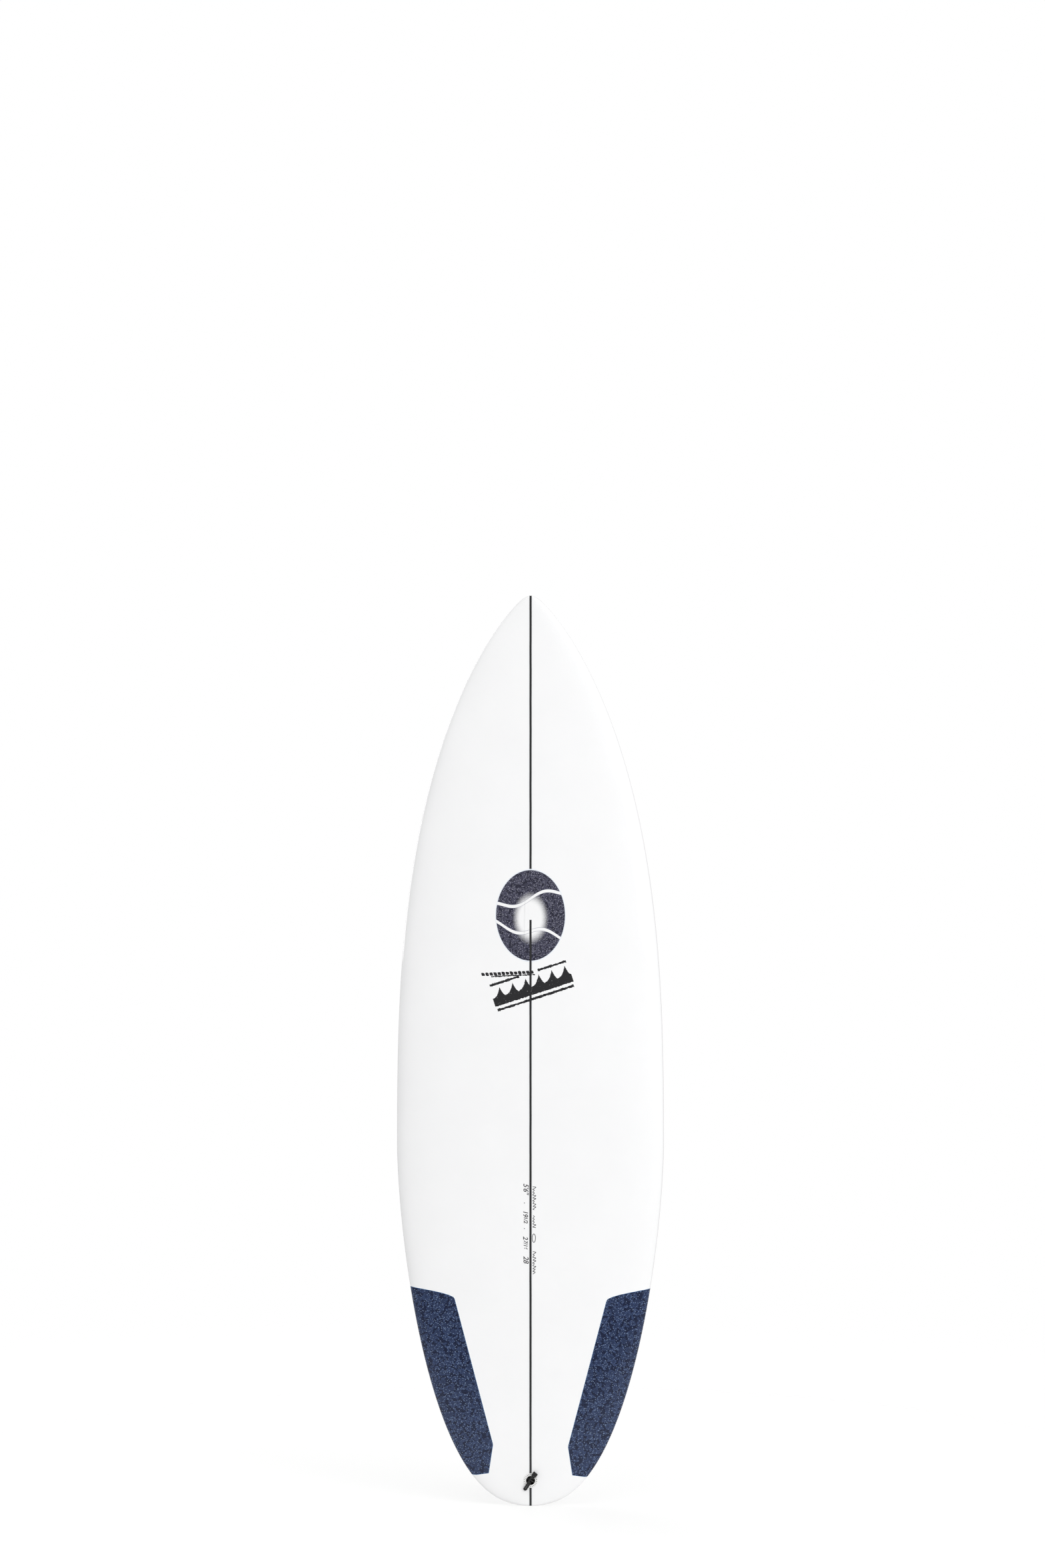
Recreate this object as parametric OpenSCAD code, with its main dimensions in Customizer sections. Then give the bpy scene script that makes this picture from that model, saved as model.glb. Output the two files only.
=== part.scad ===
// Shortboard: foam blank on a stringer, glassed skins, three removable fins, a leash plug and its string.
// The board stands on its tail. +Z runs to the nose, the deck faces -Y, the bottom and the fins face +Y.
// The origin is the tail end of the stringer at the level of the flattest part of the bottom.

/* [Board] */
// Length from tail to nose
board_length = 1676.4; // [1500:0.1:2100]
// Width at the wide point
board_width = 495.3; // [400:0.1:620]
// Thickness at the thick point
board_thickness = 61.9; // [54:0.1:80]
// Wide point, measured from the tail
wide_point = 660; // [500:1:850]
// Thick point, measured from the tail
thick_point = 850; // [650:1:950]
// Thickness of the nose tip
nose_tip_thickness = 11; // [8:0.5:16]
// Thickness of the tail end
tail_end_thickness = 16; // [14:0.5:24]
// Nose rocker
nose_rocker = 114; // [60:1:160]
// Tail rocker
tail_rocker = 54; // [20:1:80]
// Low point of the rocker, measured from the tail
rocker_low_point = 800; // [600:1:900]
// Depth of the bottom concave
concave_depth = 2.5; // [0:0.1:6]

/* [Skins and stringer] */
// Thickness of each glass skin with its resin coats
glass_thickness = 1; // [0.8:0.1:1.5]
// Thickness of the stringer
stringer_thickness = 4; // [3:0.1:5]
// Thickness of each glue line beside the stringer
glue_thickness = 0.4; // [0.2:0.1:0.6]

/* [Printed inlays] */
// Height of the tail patches' top inner corner above the tail
patch_top = 380; // [340:1:440]
// Inner edge at the top of a tail patch, from the stringer
patch_top_inset = 140; // [125:1:150]
// Height of a tail patch's lower inner corner above the tail
patch_low = 113; // [105:1:125]
// Inner edge at the lower corner of a tail patch, from the stringer
patch_low_inset = 69; // [65:1:75]
// Height of a tail patch's bottom edge above the tail
patch_bottom = 60; // [55:1:70]
// How much lower the right tail patch was laid than the left one
patch_right_drop = 4; // [0:1:8]
// Height of the emblem's centre above the tail
emblem_centre = 1089; // [900:1:1200]
// Width of the emblem
emblem_width = 130; // [80:1:160]
// Height of the emblem
emblem_height = 171; // [100:1:200]

/* [Leash plug] */
// Plug centre above the tail
plug_from_tail = 47; // [42:1:52]
// Wall of the plug round its cup
plug_wall = 3; // [2.5:0.1:4]
// How far the plug's flange stands out past its body
flange_reach = 2.4; // [2:0.1:3.5]
// Depth of the plug below the deck
plug_depth = 14.5; // [13:0.1:16]
// Diameter of the cup
cup_diameter = 16; // [13:0.1:20]
// Depth of the cup below the deck
cup_depth = 12; // [11:0.1:12.5]
// Diameter of the cross pin
pin_diameter = 3; // [2.5:0.1:3.2]
// Turn of the cross pin in the deck's plane
pin_turn = -33; // [-90:1:90]
// Diameter of the leash string
string_diameter = 3.2; // [2.6:0.1:3.9]

/* [Fins] */
// Length of a fin's base
fin_base = 112; // [104:1:120]
// Height of a fin above the bottom
fin_height = 115; // [95:1:125]
// Thickness of a fin at its base
fin_thickness = 8.5; // [7:0.1:10]
// How far a fin's tip sweeps behind its base
fin_rake = 16; // [4:1:26]
// Lean of the side fins towards the rails
side_fin_cant = 5; // [0:0.5:8]
// Rear of the side fins' bases above the tail
side_fin_from_tail = 280; // [260:1:310]
// Distance of the side fins from the rail
side_fin_from_rail = 34; // [32:1:45]
// Toe-in of the side fins
side_fin_toe = 3; // [0:0.5:5]
// Rear of the centre fin's base above the tail
centre_fin_from_tail = 89; // [85:1:100]

/* [Fin boxes] */
// Length of a fin's tab
tab_length = 98; // [80:0.1:100]
// Thickness of a fin's tab
tab_thickness = 6.4; // [5.3:0.1:7.7]
// Depth of a fin's tab
tab_depth = 15; // [12:0.5:16]
// Clearance of a tab on each side in its slot
slot_clearance = 0.1; // [0.05:0.05:0.2]
// Wall of a box past each end of its slot
box_end_wall = 13.4; // [12:0.1:16]
// Wall of a box on each side of its slot
box_side_wall = 7.2; // [7.2:0.1:9]
// Diameter of a grub screw
screw_diameter = 4; // [3:0.5:4.5]
// Length of a grub screw
screw_length = 9; // [6:0.5:10]
// Lean of a grub screw away from the slot
screw_lean = 15; // [12:1:18]

/* [Hidden] */
$fn = 48;

// Curve powers of the outline and of the section
tail_power = 1.58;
tail_round = 2.465;
nose_power = 2.76;
nose_round = 1.317;
deck_round = 2.5;
bottom_round = 6;
rail_share = 0.36;

// Curve powers of the thickness along the stringer
tail_thinning = 1.8;
nose_thinning = 1.75;
tail_fullness = 0.8;
nose_rocker_power = 2.2;

// Nose tip rounding: the length it takes and how far the free outline would run past it
tip_length = 6;
tip_overrun = 3;
end_slice = 0.5;

stations = 36;
deck_steps = 8;
bottom_steps = 6;
core_half = stringer_thickness / 2 + glue_thickness;

// How far a cut runs on past the face that it opens
overcut = 1;
cut_reach = 10;

apex_column = deck_steps + 1;
last_column = deck_steps + bottom_steps + 2;

// Half width of the outline at height z
function half_width(z) =
    let (w = board_width / 2, c = min(max(z, end_slice), board_length - end_slice))
    c < wide_point
        ? w * pow(1 - pow((wide_point - c) / wide_point, tail_power), 1 / tail_round)
        : let (n = (c - wide_point) / (board_length + tip_overrun - wide_point),
            r = max(0, (c - board_length + tip_length) / tip_length))
        w * pow(1 - pow(n, nose_power), 1 / nose_round) * sqrt(1 - r * r);

// Thickness of the board on the stringer at height z
function thickness(z) =
    z < thick_point
        ? tail_end_thickness + (board_thickness - tail_end_thickness)
            * pow(1 - pow((thick_point - z) / thick_point, tail_thinning), tail_fullness)
        : nose_tip_thickness + (board_thickness - nose_tip_thickness)
            * (1 - pow((z - thick_point) / (board_length - thick_point), nose_thinning));

// How far the bottom has curved towards the deck at height z
function rocker(z) =
    z < rocker_low_point
        ? tail_rocker * pow((rocker_low_point - z) / rocker_low_point, 2)
        : nose_rocker * pow((z - rocker_low_point) / (board_length - rocker_low_point),
            nose_rocker_power);

// Rise of the bottom's hollow above its edges at height z and share q of the half width
function hollow(z, q) = concave_depth * sin(180 * z / board_length) * pow(1 - q * q, 2);

// Share of the half width that lies at x
function share(x, z) = max(0, (abs(x) - core_half) / (half_width(z) - core_half));

function bottom_y(x, z) =
    let (q = share(x, z))
    -rocker(z) - hollow(z, q)
        - rail_share * thickness(z) * (1 - pow(1 - pow(q, bottom_round), 1 / bottom_round));

function deck_y(x, z) =
    let (q = share(x, z), t = thickness(z), a = rail_share * t)
    -rocker(z) - a - (t - a) * pow(1 - pow(q, deck_round), 1 / deck_round);

// Height above the tail of a station, closer together towards both ends
function station_z(k) = board_length * (1 - cos(180 * k / stations)) / 2;

// A point of the section at station k and column j, with the surface moved inwards by inset.
// Columns run from the deck's centre over the rail to the bottom's centre, flat over the stringer.
function skin_point(k, j, inset) =
    let (z = station_z(k),
        h = half_width(z) - inset - core_half,
        t = thickness(z),
        a = rail_share * t,
        on_deck = j <= apex_column,
        f = on_deck ? 90 * max(0, j - 1) / deck_steps
            : 90 * max(0, last_column - 1 - j) / bottom_steps,
        p = 2 / (on_deck ? deck_round : bottom_round),
        q = pow(sin(f), p),
        x = j == 0 || j == last_column ? 0 : core_half + h * q,
        v = on_deck ? a + (t - inset - a) * pow(cos(f), p)
            : inset + (a - inset) * (1 - pow(cos(f), p)) + hollow(z, q))
    [x, -rocker(z) - v, inset + (board_length - 2 * inset) * z / board_length];

function mirrored(p) = [-p[0], p[1], p[2]];
function turned_over(face) = [for (i = [len(face) - 1:-1:0]) face[i]];
function faces_out(list, over) = [for (f = list) over ? turned_over(f) : f];

// One half of the foam blank, closed by a flat side against its glue line
module foam_half() {
    first = 1;
    ring = last_column - first;
    points = [for (k = [0:stations]) for (j = [first:last_column - 1])
        skin_point(k, j, glass_thickness)];
    walls = [for (k = [0:stations - 1]) for (i = [0:ring - 1])
        let (n = (i + 1) % ring, a = k * ring + i, b = k * ring + n)
        each [[a, b + ring, b], [a, a + ring, b + ring]]];
    ends = [[for (i = [0:ring - 1]) i], [for (i = [ring - 1:-1:0]) stations * ring + i]];
    polyhedron(points, concat(walls, ends), convexity = 6);
}

// One glass skin from rail to rail, between two columns of the section, with both of its surfaces
module skin(inner_column, over) {
    steps = abs(inner_column - apex_column);
    side = inner_column < apex_column ? 1 : -1;
    columns = 2 * steps + 1;
    layer = (stations + 1) * columns;
    function at(k, i, inset) =
        let (p = skin_point(k, inner_column + side * abs(i - steps), inset))
        i < steps ? mirrored(p) : p;
    points = [for (inset = [0, glass_thickness]) for (k = [0:stations])
        for (i = [0:columns - 1]) at(k, i, inset)];
    function sheet(base) = [for (k = [0:stations - 1]) for (i = [0:columns - 2])
        let (a = base + k * columns + i, b = a + 1, c = b + columns, d = a + columns)
        each ((i < steps) == (side > 0) ? [[a, b, d], [b, c, d]] : [[a, b, c], [a, c, d]])];
    function ends(base) = [turned_over([for (i = [0:columns - 1]) base + i]),
        [for (i = [0:columns - 1]) base + stations * columns + i]];
    function rim(i) = [for (k = [0:stations - 1])
        let (a = k * columns + i, b = a + columns, c = b + layer, d = a + layer)
        each [[a, b, c], [a, c, d]]];
    tail_rim = [0, layer, layer + columns - 1, columns - 1];
    nose_rim = [for (i = tail_rim) i + stations * columns];
    faces = concat(sheet(0), ends(0), faces_out(concat(sheet(layer), ends(layer)), true),
        rim(0), faces_out(rim(columns - 1), true), [tail_rim, turned_over(nose_rim)]);
    polyhedron(points, faces_out(faces, over), convexity = 8);
}

// Side profile of the stringer, extruded from one side of the centre plane to the other
module core_slab(from, to) {
    edge = concat([for (k = [0:stations]) skin_point(k, 0, glass_thickness)],
        [for (k = [stations:-1:0]) skin_point(k, last_column, glass_thickness)]);
    translate([from, 0, 0]) rotate([90, 0, 90]) linear_extrude(to - from)
        polygon([for (p = edge) [p[1], p[2]]]);
}

// Fin frame: X across the slot, Y out of the bottom, Z towards the nose, origin at the base's middle
function fin_z(side) = fin_base / 2 + (side == 0 ? centre_fin_from_tail : side_fin_from_tail);
function fin_x(side) = side * (half_width(side_fin_from_tail) - side_fin_from_rail);
// Slopes of the bottom along and across the board, each over a short span
span_z = 20;
span_x = 5;
function slope_z(x, z) = (bottom_y(x, z + span_z) - bottom_y(x, z - span_z)) / (2 * span_z);
function slope_x(x, z) = (bottom_y(x + span_x, z) - bottom_y(x - span_x, z)) / (2 * span_x);

module at_fin(side) {
    x = fin_x(side);
    z = fin_z(side);
    translate([x, bottom_y(x, z), z])
        rotate([-atan(slope_z(x, z)), 0, side == 0 ? 0 : atan(slope_x(x, z))])
        rotate([0, -side * side_fin_toe, 0]) children();
}

// A block with round ends, from low to high along the fin frame's Y
module stadium_block(length, width, low, high) {
    translate([0, high, 0]) rotate([90, 0, 0]) linear_extrude(high - low) {
        square([width, length - width], center = true);
        for (s = [-1, 1]) translate([0, s * (length - width) / 2]) circle(d = width);
    }
}

flange_thickness = 2.5;
bed_thickness = 1.5;
slot_length = tab_length + 2 * slot_clearance;
slot_width = tab_thickness + 2 * slot_clearance;
box_body_width = slot_width + 2 * box_side_wall;
box_body_length = slot_length + 2 * box_end_wall;
box_width = box_body_width + 2 * bed_thickness;
box_length = box_body_length + 2 * bed_thickness;
box_floor = 1.5;
tab_floor_gap = 0.3;
slot_depth = tab_depth + tab_floor_gap;
box_depth = slot_depth + box_floor;
pocket_depth = box_depth + bed_thickness;
box_top = 0.3;

// The routed pocket that takes a fin box and its resin
module fin_pocket(side) {
    at_fin(side) stadium_block(box_length, box_width, -pocket_depth, cut_reach);
}

screw_sink = 0.6;
screw_clearance = 0.06;
screw_tip_gap = 0.15;
screw_from_tab_end = 23;
screw_along = tab_length / 2 - screw_from_tab_end;

// Puts the grub screw's axis in the fin frame, with its head at the origin and +Y out of the box
module at_screw(side) {
    tip_x = tab_thickness / 2 + slot_clearance + screw_tip_gap + cos(screw_lean) * screw_diameter / 2;
    head_x = tip_x + screw_length * sin(screw_lean);
    inwards = side > 0 ? -1 : 1;
    at_fin(side) translate([inwards * head_x, -screw_sink, screw_along])
        rotate([0, 0, -inwards * screw_lean]) children();
}

// Moulded fin box: a flange over a deep body, one slot and one slanting screw hole
module fin_box(side) {
    difference() {
        at_fin(side) {
            stadium_block(box_length, box_width, -flange_thickness, box_top);
            stadium_block(box_body_length, box_body_width, -box_depth, -flange_thickness);
        }
        at_fin(side) stadium_block(slot_length, slot_width, -slot_depth, overcut);
        at_screw(side) rotate([90, 0, 0]) translate([0, 0, -cut_reach])
            cylinder(d = screw_diameter + 2 * screw_clearance, h = cut_reach + screw_length + overcut);
    }
}

// Set resin round a box's body, under its flange
module fin_box_resin(side) {
    at_fin(side) difference() {
        stadium_block(box_length, box_width, -pocket_depth, -flange_thickness);
        stadium_block(box_body_length, box_body_width, -box_depth, overcut);
    }
}

socket_width = 2;
socket_depth = 2.4;

// Headless screw with a hex socket, clamping the tab from its side
module fin_screw(side) {
    at_screw(side) rotate([90, 0, 0]) difference() {
        cylinder(d = screw_diameter, h = screw_length);
        translate([0, 0, -overcut])
            cylinder(d = socket_width / cos(30), h = socket_depth + overcut, $fn = 6);
    }
}

fin_gap = 1;
fin_levels = 10;
foil_steps = 8;
tip_share = 0.985;

// Curve powers and bellies of a fin's edges and of its foil
leading_start = 1.12;
leading_power = 0.455;
trailing_belly = 26;
edge_half_thickness = 0.5;
tip_thinning = 0.8;
foil_forward = 0.62;
foil_fullness = 0.8;
inner_face_share = 0.2;

// Leading and trailing edge of a fin at share t of its height
function leading_edge(t) =
    fin_base / 2 - (fin_base + fin_rake) * (1 - pow(1 - pow(t, leading_start), leading_power));
function trailing_edge(t) = -fin_base / 2 + trailing_belly * t * (1 - t) - fin_rake * pow(t, 3);
// Half thickness of the foil at share c of the chord and share t of the height
function foil(c, t) = edge_half_thickness + (fin_thickness / 2 - edge_half_thickness)
    * (1 - tip_thinning * t) * pow(sin(180 * pow(c, foil_forward)), foil_fullness);

// Fin blade as foil sections stacked up from the base. A side fin is nearly flat on its inner face
module fin_blade(side) {
    ring = 2 * (foil_steps + 1);
    points = [for (l = [0:fin_levels])
        let (t = tip_share * sin(90 * l / fin_levels),
            y = fin_gap + (fin_height - fin_gap) * t / tip_share)
        for (i = [0:ring - 1])
            let (out = i <= foil_steps,
                c = (1 - cos(180 * (out ? i : ring - 1 - i) / foil_steps)) / 2,
                outer = side == 0 || (out == (side > 0)),
                flat = edge_half_thickness + inner_face_share * (foil(c, t) - edge_half_thickness),
                x = (out ? 1 : -1) * (outer ? foil(c, t) : flat))
            [x + side * tan(side_fin_cant) * (y - fin_gap), y,
                leading_edge(t) + c * (trailing_edge(t) - leading_edge(t))]];
    walls = [for (l = [0:fin_levels - 1]) for (i = [0:ring - 1])
        let (n = (i + 1) % ring, a = l * ring + i, b = l * ring + n)
        each [[a, b + ring, b], [a, a + ring, b + ring]]];
    ends = [[for (i = [0:ring - 1]) i], [for (i = [ring - 1:-1:0]) fin_levels * ring + i]];
    polyhedron(points, concat(walls, ends), convexity = 4);
}

// A fin with its tab, one moulding
module fin(side) {
    at_fin(side) {
        fin_blade(side);
        stadium_block(tab_length, tab_thickness, -tab_depth, fin_gap);
    }
}

// Plug frame: origin on the deck at the plug's centre, +Z out of the deck, +Y towards the nose
plug_span = 10;
plug_slope = (deck_y(0, plug_from_tail + plug_span) - deck_y(0, plug_from_tail - plug_span))
    / (2 * plug_span);
module at_plug() {
    translate([0, deck_y(0, plug_from_tail), plug_from_tail])
        rotate([90 - atan(plug_slope), 0, 0]) children();
}

plug_diameter = cup_diameter + 2 * plug_wall;
flange_diameter = plug_diameter + 2 * flange_reach;
flange_rise = 0.8;
flange_seat = 0.1;
lip_radius = 0.8;
plug_bed = 1.5;
bed_floor = 1;
pin_level = -3.2;
pin_clearance = 0.05;
pin_length = plug_diameter - 1;

// Hole for the plug and its resin, through the deck skin into the core
module plug_hole() {
    at_plug() translate([0, 0, -plug_depth - bed_floor])
        cylinder(d = plug_diameter + 2 * plug_bed, h = plug_depth + bed_floor + cut_reach);
}

// Turns its children with the cross pin, so that X runs along the pin
module along_pin() {
    at_plug() rotate([0, 0, pin_turn]) children();
}

// Half section of the moulded cup: a body, a thin flange with a round edge, and a rounded mouth
module cup_section() {
    flange_inner = flange_diameter / 2 - flange_rise;
    difference() {
        union() {
            translate([0, -plug_depth]) square([plug_diameter / 2, plug_depth + flange_rise]);
            translate([0, flange_seat]) square([flange_inner, flange_rise - flange_seat]);
            intersection() {
                translate([flange_inner, 0]) circle(r = flange_rise);
                translate([0, flange_seat]) square([flange_diameter, flange_rise]);
            }
        }
        translate([0, -cup_depth]) square([cup_diameter / 2, cup_depth + 2 * flange_rise]);
        translate([cup_diameter / 2, flange_rise - lip_radius]) difference() {
            translate([-overcut, 0]) square([overcut + lip_radius, 2 * lip_radius]);
            translate([lip_radius, 0]) circle(r = lip_radius);
        }
    }
}

module plug_cup() {
    difference() {
        at_plug() rotate_extrude() cup_section();
        along_pin() translate([0, 0, pin_level]) rotate([0, 90, 0])
            cylinder(d = pin_diameter + 2 * pin_clearance, h = pin_length + 2 * pin_clearance,
                center = true);
    }
}

module plug_pin() {
    along_pin() translate([0, 0, pin_level]) rotate([0, 90, 0])
        cylinder(d = pin_diameter, h = pin_length, center = true);
}

// Set resin round the plug's body and under it
module plug_resin() {
    at_plug() difference() {
        translate([0, 0, -plug_depth - bed_floor])
            cylinder(d = plug_diameter + 2 * plug_bed, h = plug_depth + bed_floor);
        translate([0, 0, -plug_depth]) cylinder(d = plug_diameter, h = plug_depth + cut_reach);
    }
}

// Route of the leash string in the frame of its pin: X along the pin, Y up the deck, Z out of it.
// The first strand lies over the pin and the second goes under it. Both start where the fold ends.
over_pin = [[-2.1, -11, 4.2], [-2.1, -9.5, 4.2], [-2.1, -6.5, 3.2], [-2.1, -3, 2.2], [-2.1, 0.5, 1.9],
    [-2.1, 4, 2.7], [-2.1, 6.4, 4], [-2.1, 8.3, 5], [-2.1, 9.5, 5]];
under_pin = [[2.1, -11, 4.2], [2.1, -9.5, 4.2], [2.1, -7.8, 3.2], [2.1, -6.6, 2.1], [2.1, -5.9, 0.8],
    [2.1, -5.6, -0.8], [2.1, -5.4, -2.4], [2.1, -4.5, -4.6], [2.1, -2.6, -6.4], [2.1, 0, -7.1],
    [2.1, 2.6, -6.4], [2.1, 4.5, -4.6], [2.1, 5.4, -2.4], [2.1, 5.6, -0.8], [2.1, 5.9, 0.8],
    [2.1, 6.5, 2.1], [2.1, 7.2, 3.5], [2.1, 8, 4.7], [2.1, 8.9, 5], [2.1, 9.5, 5]];
folded_end = [[-2.1, -11.3, 4.2], [-2.1, -12.8, 4.2], [-2.1, -14.8, 3.3], [-2.2, -17, 2.4], [-1.6, -19, 2],
    [0, -19.8, 1.9], [1.6, -19, 2], [2.2, -17, 2.4], [2.1, -14.8, 3.3], [2.1, -12.8, 4.2],
    [2.1, -11.3, 4.2]];
string_sides = 8;

// The points are set out for one cup and one string. The strands follow the cup's wall and each other
route_cup = 16;
route_string = 3.2;
route_wall = 5.9;
strand_crowding = 0.8;
function fitted(path) = [for (p = path)
    let (thicker = string_diameter - route_string,
        shift = (cup_diameter - route_cup) / 2 - strand_crowding * thicker)
    [p[0] * string_diameter / route_string,
        abs(p[1]) < route_wall ? p[1] * (1 + shift / route_wall) : p[1] + sign(p[1]) * shift,
        p[2] + sign(p[2]) * thicker / 2]];

function unit(v) = v / norm(v);
function heading(path, i) = unit(path[min(i + 1, len(path) - 1)] - path[max(i - 1, 0)]);
// A side direction square to the heading, carried along the path without twisting
function carried(side, head) = unit(side - (side * head) * head);
function sides_along(path, i, side) =
    let (s = carried(side, heading(path, i)))
    i == len(path) - 1 ? [s] : concat([s], sides_along(path, i + 1, s));

module swept_tube(path) {
    frames = sides_along(path, 0, [1, 0, 0]);
    rings = len(path);
    n = string_sides;
    function ring_point(i, s) =
        let (u = frames[i], v = cross(heading(path, i), u), turn = 360 * s / n)
        path[i] + string_diameter / 2 * (cos(turn) * u + sin(turn) * v);
    points = [for (i = [0:rings - 1]) for (s = [0:n - 1]) ring_point(i, s)];
    walls = [for (i = [0:rings - 2]) for (s = [0:n - 1])
        let (a = i * n + s, b = i * n + (s + 1) % n)
        each [[a, b + n, b], [a, a + n, b + n]]];
    ends = [[for (s = [0:n - 1]) s], [for (s = [n - 1:-1:0]) (rings - 1) * n + s]];
    polyhedron(points, concat(walls, ends), convexity = 8);
}

// The knot that closes the string into a loop, a short barrel against the ends of both strands
knot_start = fitted(over_pin)[len(over_pin) - 1][1];
knot_length = 7;
knot_end_radius = 1.1875 * string_diameter;
knot_bulge = 0.6;
knot_gap = 0.1;
knot_level = flange_rise + knot_end_radius + knot_bulge + knot_gap;
module string_knot() {
    bow = (pow(knot_length / 2, 2) + pow(knot_bulge, 2)) / (2 * knot_bulge);
    along_pin() translate([0, knot_start, knot_level]) rotate([-90, 0, 0]) rotate_extrude()
        intersection() {
            translate([knot_end_radius + knot_bulge - bow, knot_length / 2]) circle(r = bow, $fn = 96);
            square([2 * knot_end_radius, knot_length]);
        }
}

// Printed inlays are the parts of the deck skin inside these outlines
patch_slant = 4;
patch_corner_step = 8;
patch_corner_run = 31;
patch_top_run = 100;
patch_top_rise = 23;
patch_top_power = 0.5;

// Extrudes an outline drawn as seen from the deck side through the whole board
module through_deck() {
    reach = nose_rocker + board_thickness;
    translate([0, reach, 0]) rotate([90, 0, 0]) linear_extrude(3 * reach) children();
}

module patch_outline(side) {
    past_rail = board_width;
    drop = side > 0 ? patch_right_drop : 0;
    edge = [[patch_top_inset, patch_top], [patch_low_inset, patch_low],
        [patch_low_inset + patch_corner_step, patch_bottom],
        [patch_low_inset + patch_corner_run, patch_bottom - patch_slant],
        [past_rail, patch_bottom - patch_slant], [past_rail, patch_top + patch_top_run]];
    top = [for (u = [1:-0.25:0.25])
        [patch_top_inset + patch_top_run * u, patch_top + patch_top_rise * pow(u, patch_top_power)]];
    through_deck() polygon([for (p = concat(edge, top)) [side * p[0], p[1] - drop]]);
}

emblem_corners = 40;
module emblem_outline() {
    through_deck() polygon([for (i = [0:emblem_corners - 1]) let (turn = 360 * i / emblem_corners)
        [emblem_width / 2 * cos(turn), emblem_centre + emblem_height / 2 * sin(turn)]]);
}

module foam_left() {
    color("ivory") difference() {
        mirror([1, 0, 0]) foam_half();
        plug_hole();
        fin_pocket(0);
        fin_pocket(-1);
    }
}

module foam_right() {
    color("ivory") difference() {
        foam_half();
        plug_hole();
        fin_pocket(0);
        fin_pocket(1);
    }
}

module stringer() {
    color("black") difference() {
        core_slab(-stringer_thickness / 2, stringer_thickness / 2);
        plug_hole();
        fin_pocket(0);
    }
}

module glue_line(side) {
    from = side > 0 ? stringer_thickness / 2 : -core_half;
    color("gainsboro") difference() {
        core_slab(from, from + glue_thickness);
        plug_hole();
        fin_pocket(0);
    }
}

module deck_glass() {
    color("white") difference() {
        skin(0, false);
        plug_hole();
        emblem_outline();
        for (side = [-1, 1]) patch_outline(side);
    }
}

module bottom_glass() {
    color("white") difference() {
        skin(last_column, true);
        for (side = [-1, 0, 1]) fin_pocket(side);
    }
}

module tail_patch(side) {
    color("midnightblue") intersection() {
        skin(0, false);
        patch_outline(side);
    }
}

module deck_emblem() {
    color("midnightblue") intersection() {
        skin(0, false);
        emblem_outline();
    }
}

module leash_string() {
    color("black") along_pin() {
        swept_tube(fitted(over_pin));
        swept_tube(fitted(under_pin));
    }
}

module leash_string_end() {
    color("black") along_pin() swept_tube(fitted(folded_end));
}

foam_left();
foam_right();
stringer();
glue_line(-1);  // glue_line_left
glue_line(1);  // glue_line_right
deck_glass();
bottom_glass();
tail_patch(-1);  // tail_patch_left
tail_patch(1);  // tail_patch_right
deck_emblem();
color("whitesmoke") plug_cup();  // leash_plug_cup
color("silver") plug_pin();  // leash_plug_pin
color("honeydew") plug_resin();  // leash_plug_resin
leash_string();
leash_string_end();
color("black") string_knot();  // leash_knot
color("whitesmoke") fin_box(-1);  // fin_box_left
color("whitesmoke") fin_box(0);  // fin_box_centre
color("whitesmoke") fin_box(1);  // fin_box_right
color("honeydew") fin_box_resin(-1);  // fin_box_resin_left
color("honeydew") fin_box_resin(0);  // fin_box_resin_centre
color("honeydew") fin_box_resin(1);  // fin_box_resin_right
color("silver") fin_screw(-1);  // fin_screw_left
color("silver") fin_screw(0);  // fin_screw_centre
color("silver") fin_screw(1);  // fin_screw_right
color("dimgray") fin(-1);  // fin_left
color("dimgray") fin(0);  // fin_centre
color("dimgray") fin(1);  // fin_right
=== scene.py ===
import random
from contextlib import contextmanager
from math import asin, atan, copysign, cos, degrees, pi, radians, sin, sqrt, tan
import bmesh
import bpy
from mathutils import Matrix, Vector, noise


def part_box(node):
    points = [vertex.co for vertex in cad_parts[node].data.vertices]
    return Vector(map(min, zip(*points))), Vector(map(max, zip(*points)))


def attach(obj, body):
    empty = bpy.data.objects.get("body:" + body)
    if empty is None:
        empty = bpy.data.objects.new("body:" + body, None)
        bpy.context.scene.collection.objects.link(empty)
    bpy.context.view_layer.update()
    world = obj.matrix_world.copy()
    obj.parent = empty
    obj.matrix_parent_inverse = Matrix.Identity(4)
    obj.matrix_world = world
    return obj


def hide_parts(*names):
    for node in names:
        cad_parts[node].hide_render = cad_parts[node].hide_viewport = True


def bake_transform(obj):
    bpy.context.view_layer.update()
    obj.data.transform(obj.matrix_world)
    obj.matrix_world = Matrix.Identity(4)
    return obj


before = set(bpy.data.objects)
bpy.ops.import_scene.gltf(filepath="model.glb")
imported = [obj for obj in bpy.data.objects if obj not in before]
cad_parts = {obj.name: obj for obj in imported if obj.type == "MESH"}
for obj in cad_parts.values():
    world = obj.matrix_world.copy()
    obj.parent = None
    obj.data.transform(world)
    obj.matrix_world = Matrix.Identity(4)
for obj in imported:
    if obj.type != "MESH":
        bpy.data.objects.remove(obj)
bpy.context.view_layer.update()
scene = bpy.context.scene
random.seed(7)


# ---- Camera ----
# Level and square to the deck, a little left of the stringer, from about seven metres.
# The long lens keeps the board's outline almost free of perspective.
camera_height = 1.3316
camera_distance = 6.899
camera_left = 0.0148
bpy.ops.object.camera_add(location=(-camera_left, -camera_distance, camera_height),
                          rotation=(radians(90), 0, 0))
camera = bpy.context.object
camera.name = "deck_view"
camera.data.lens = 85
camera.data.sensor_width = 36
camera.data.clip_end = 100
scene.camera = camera


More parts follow.
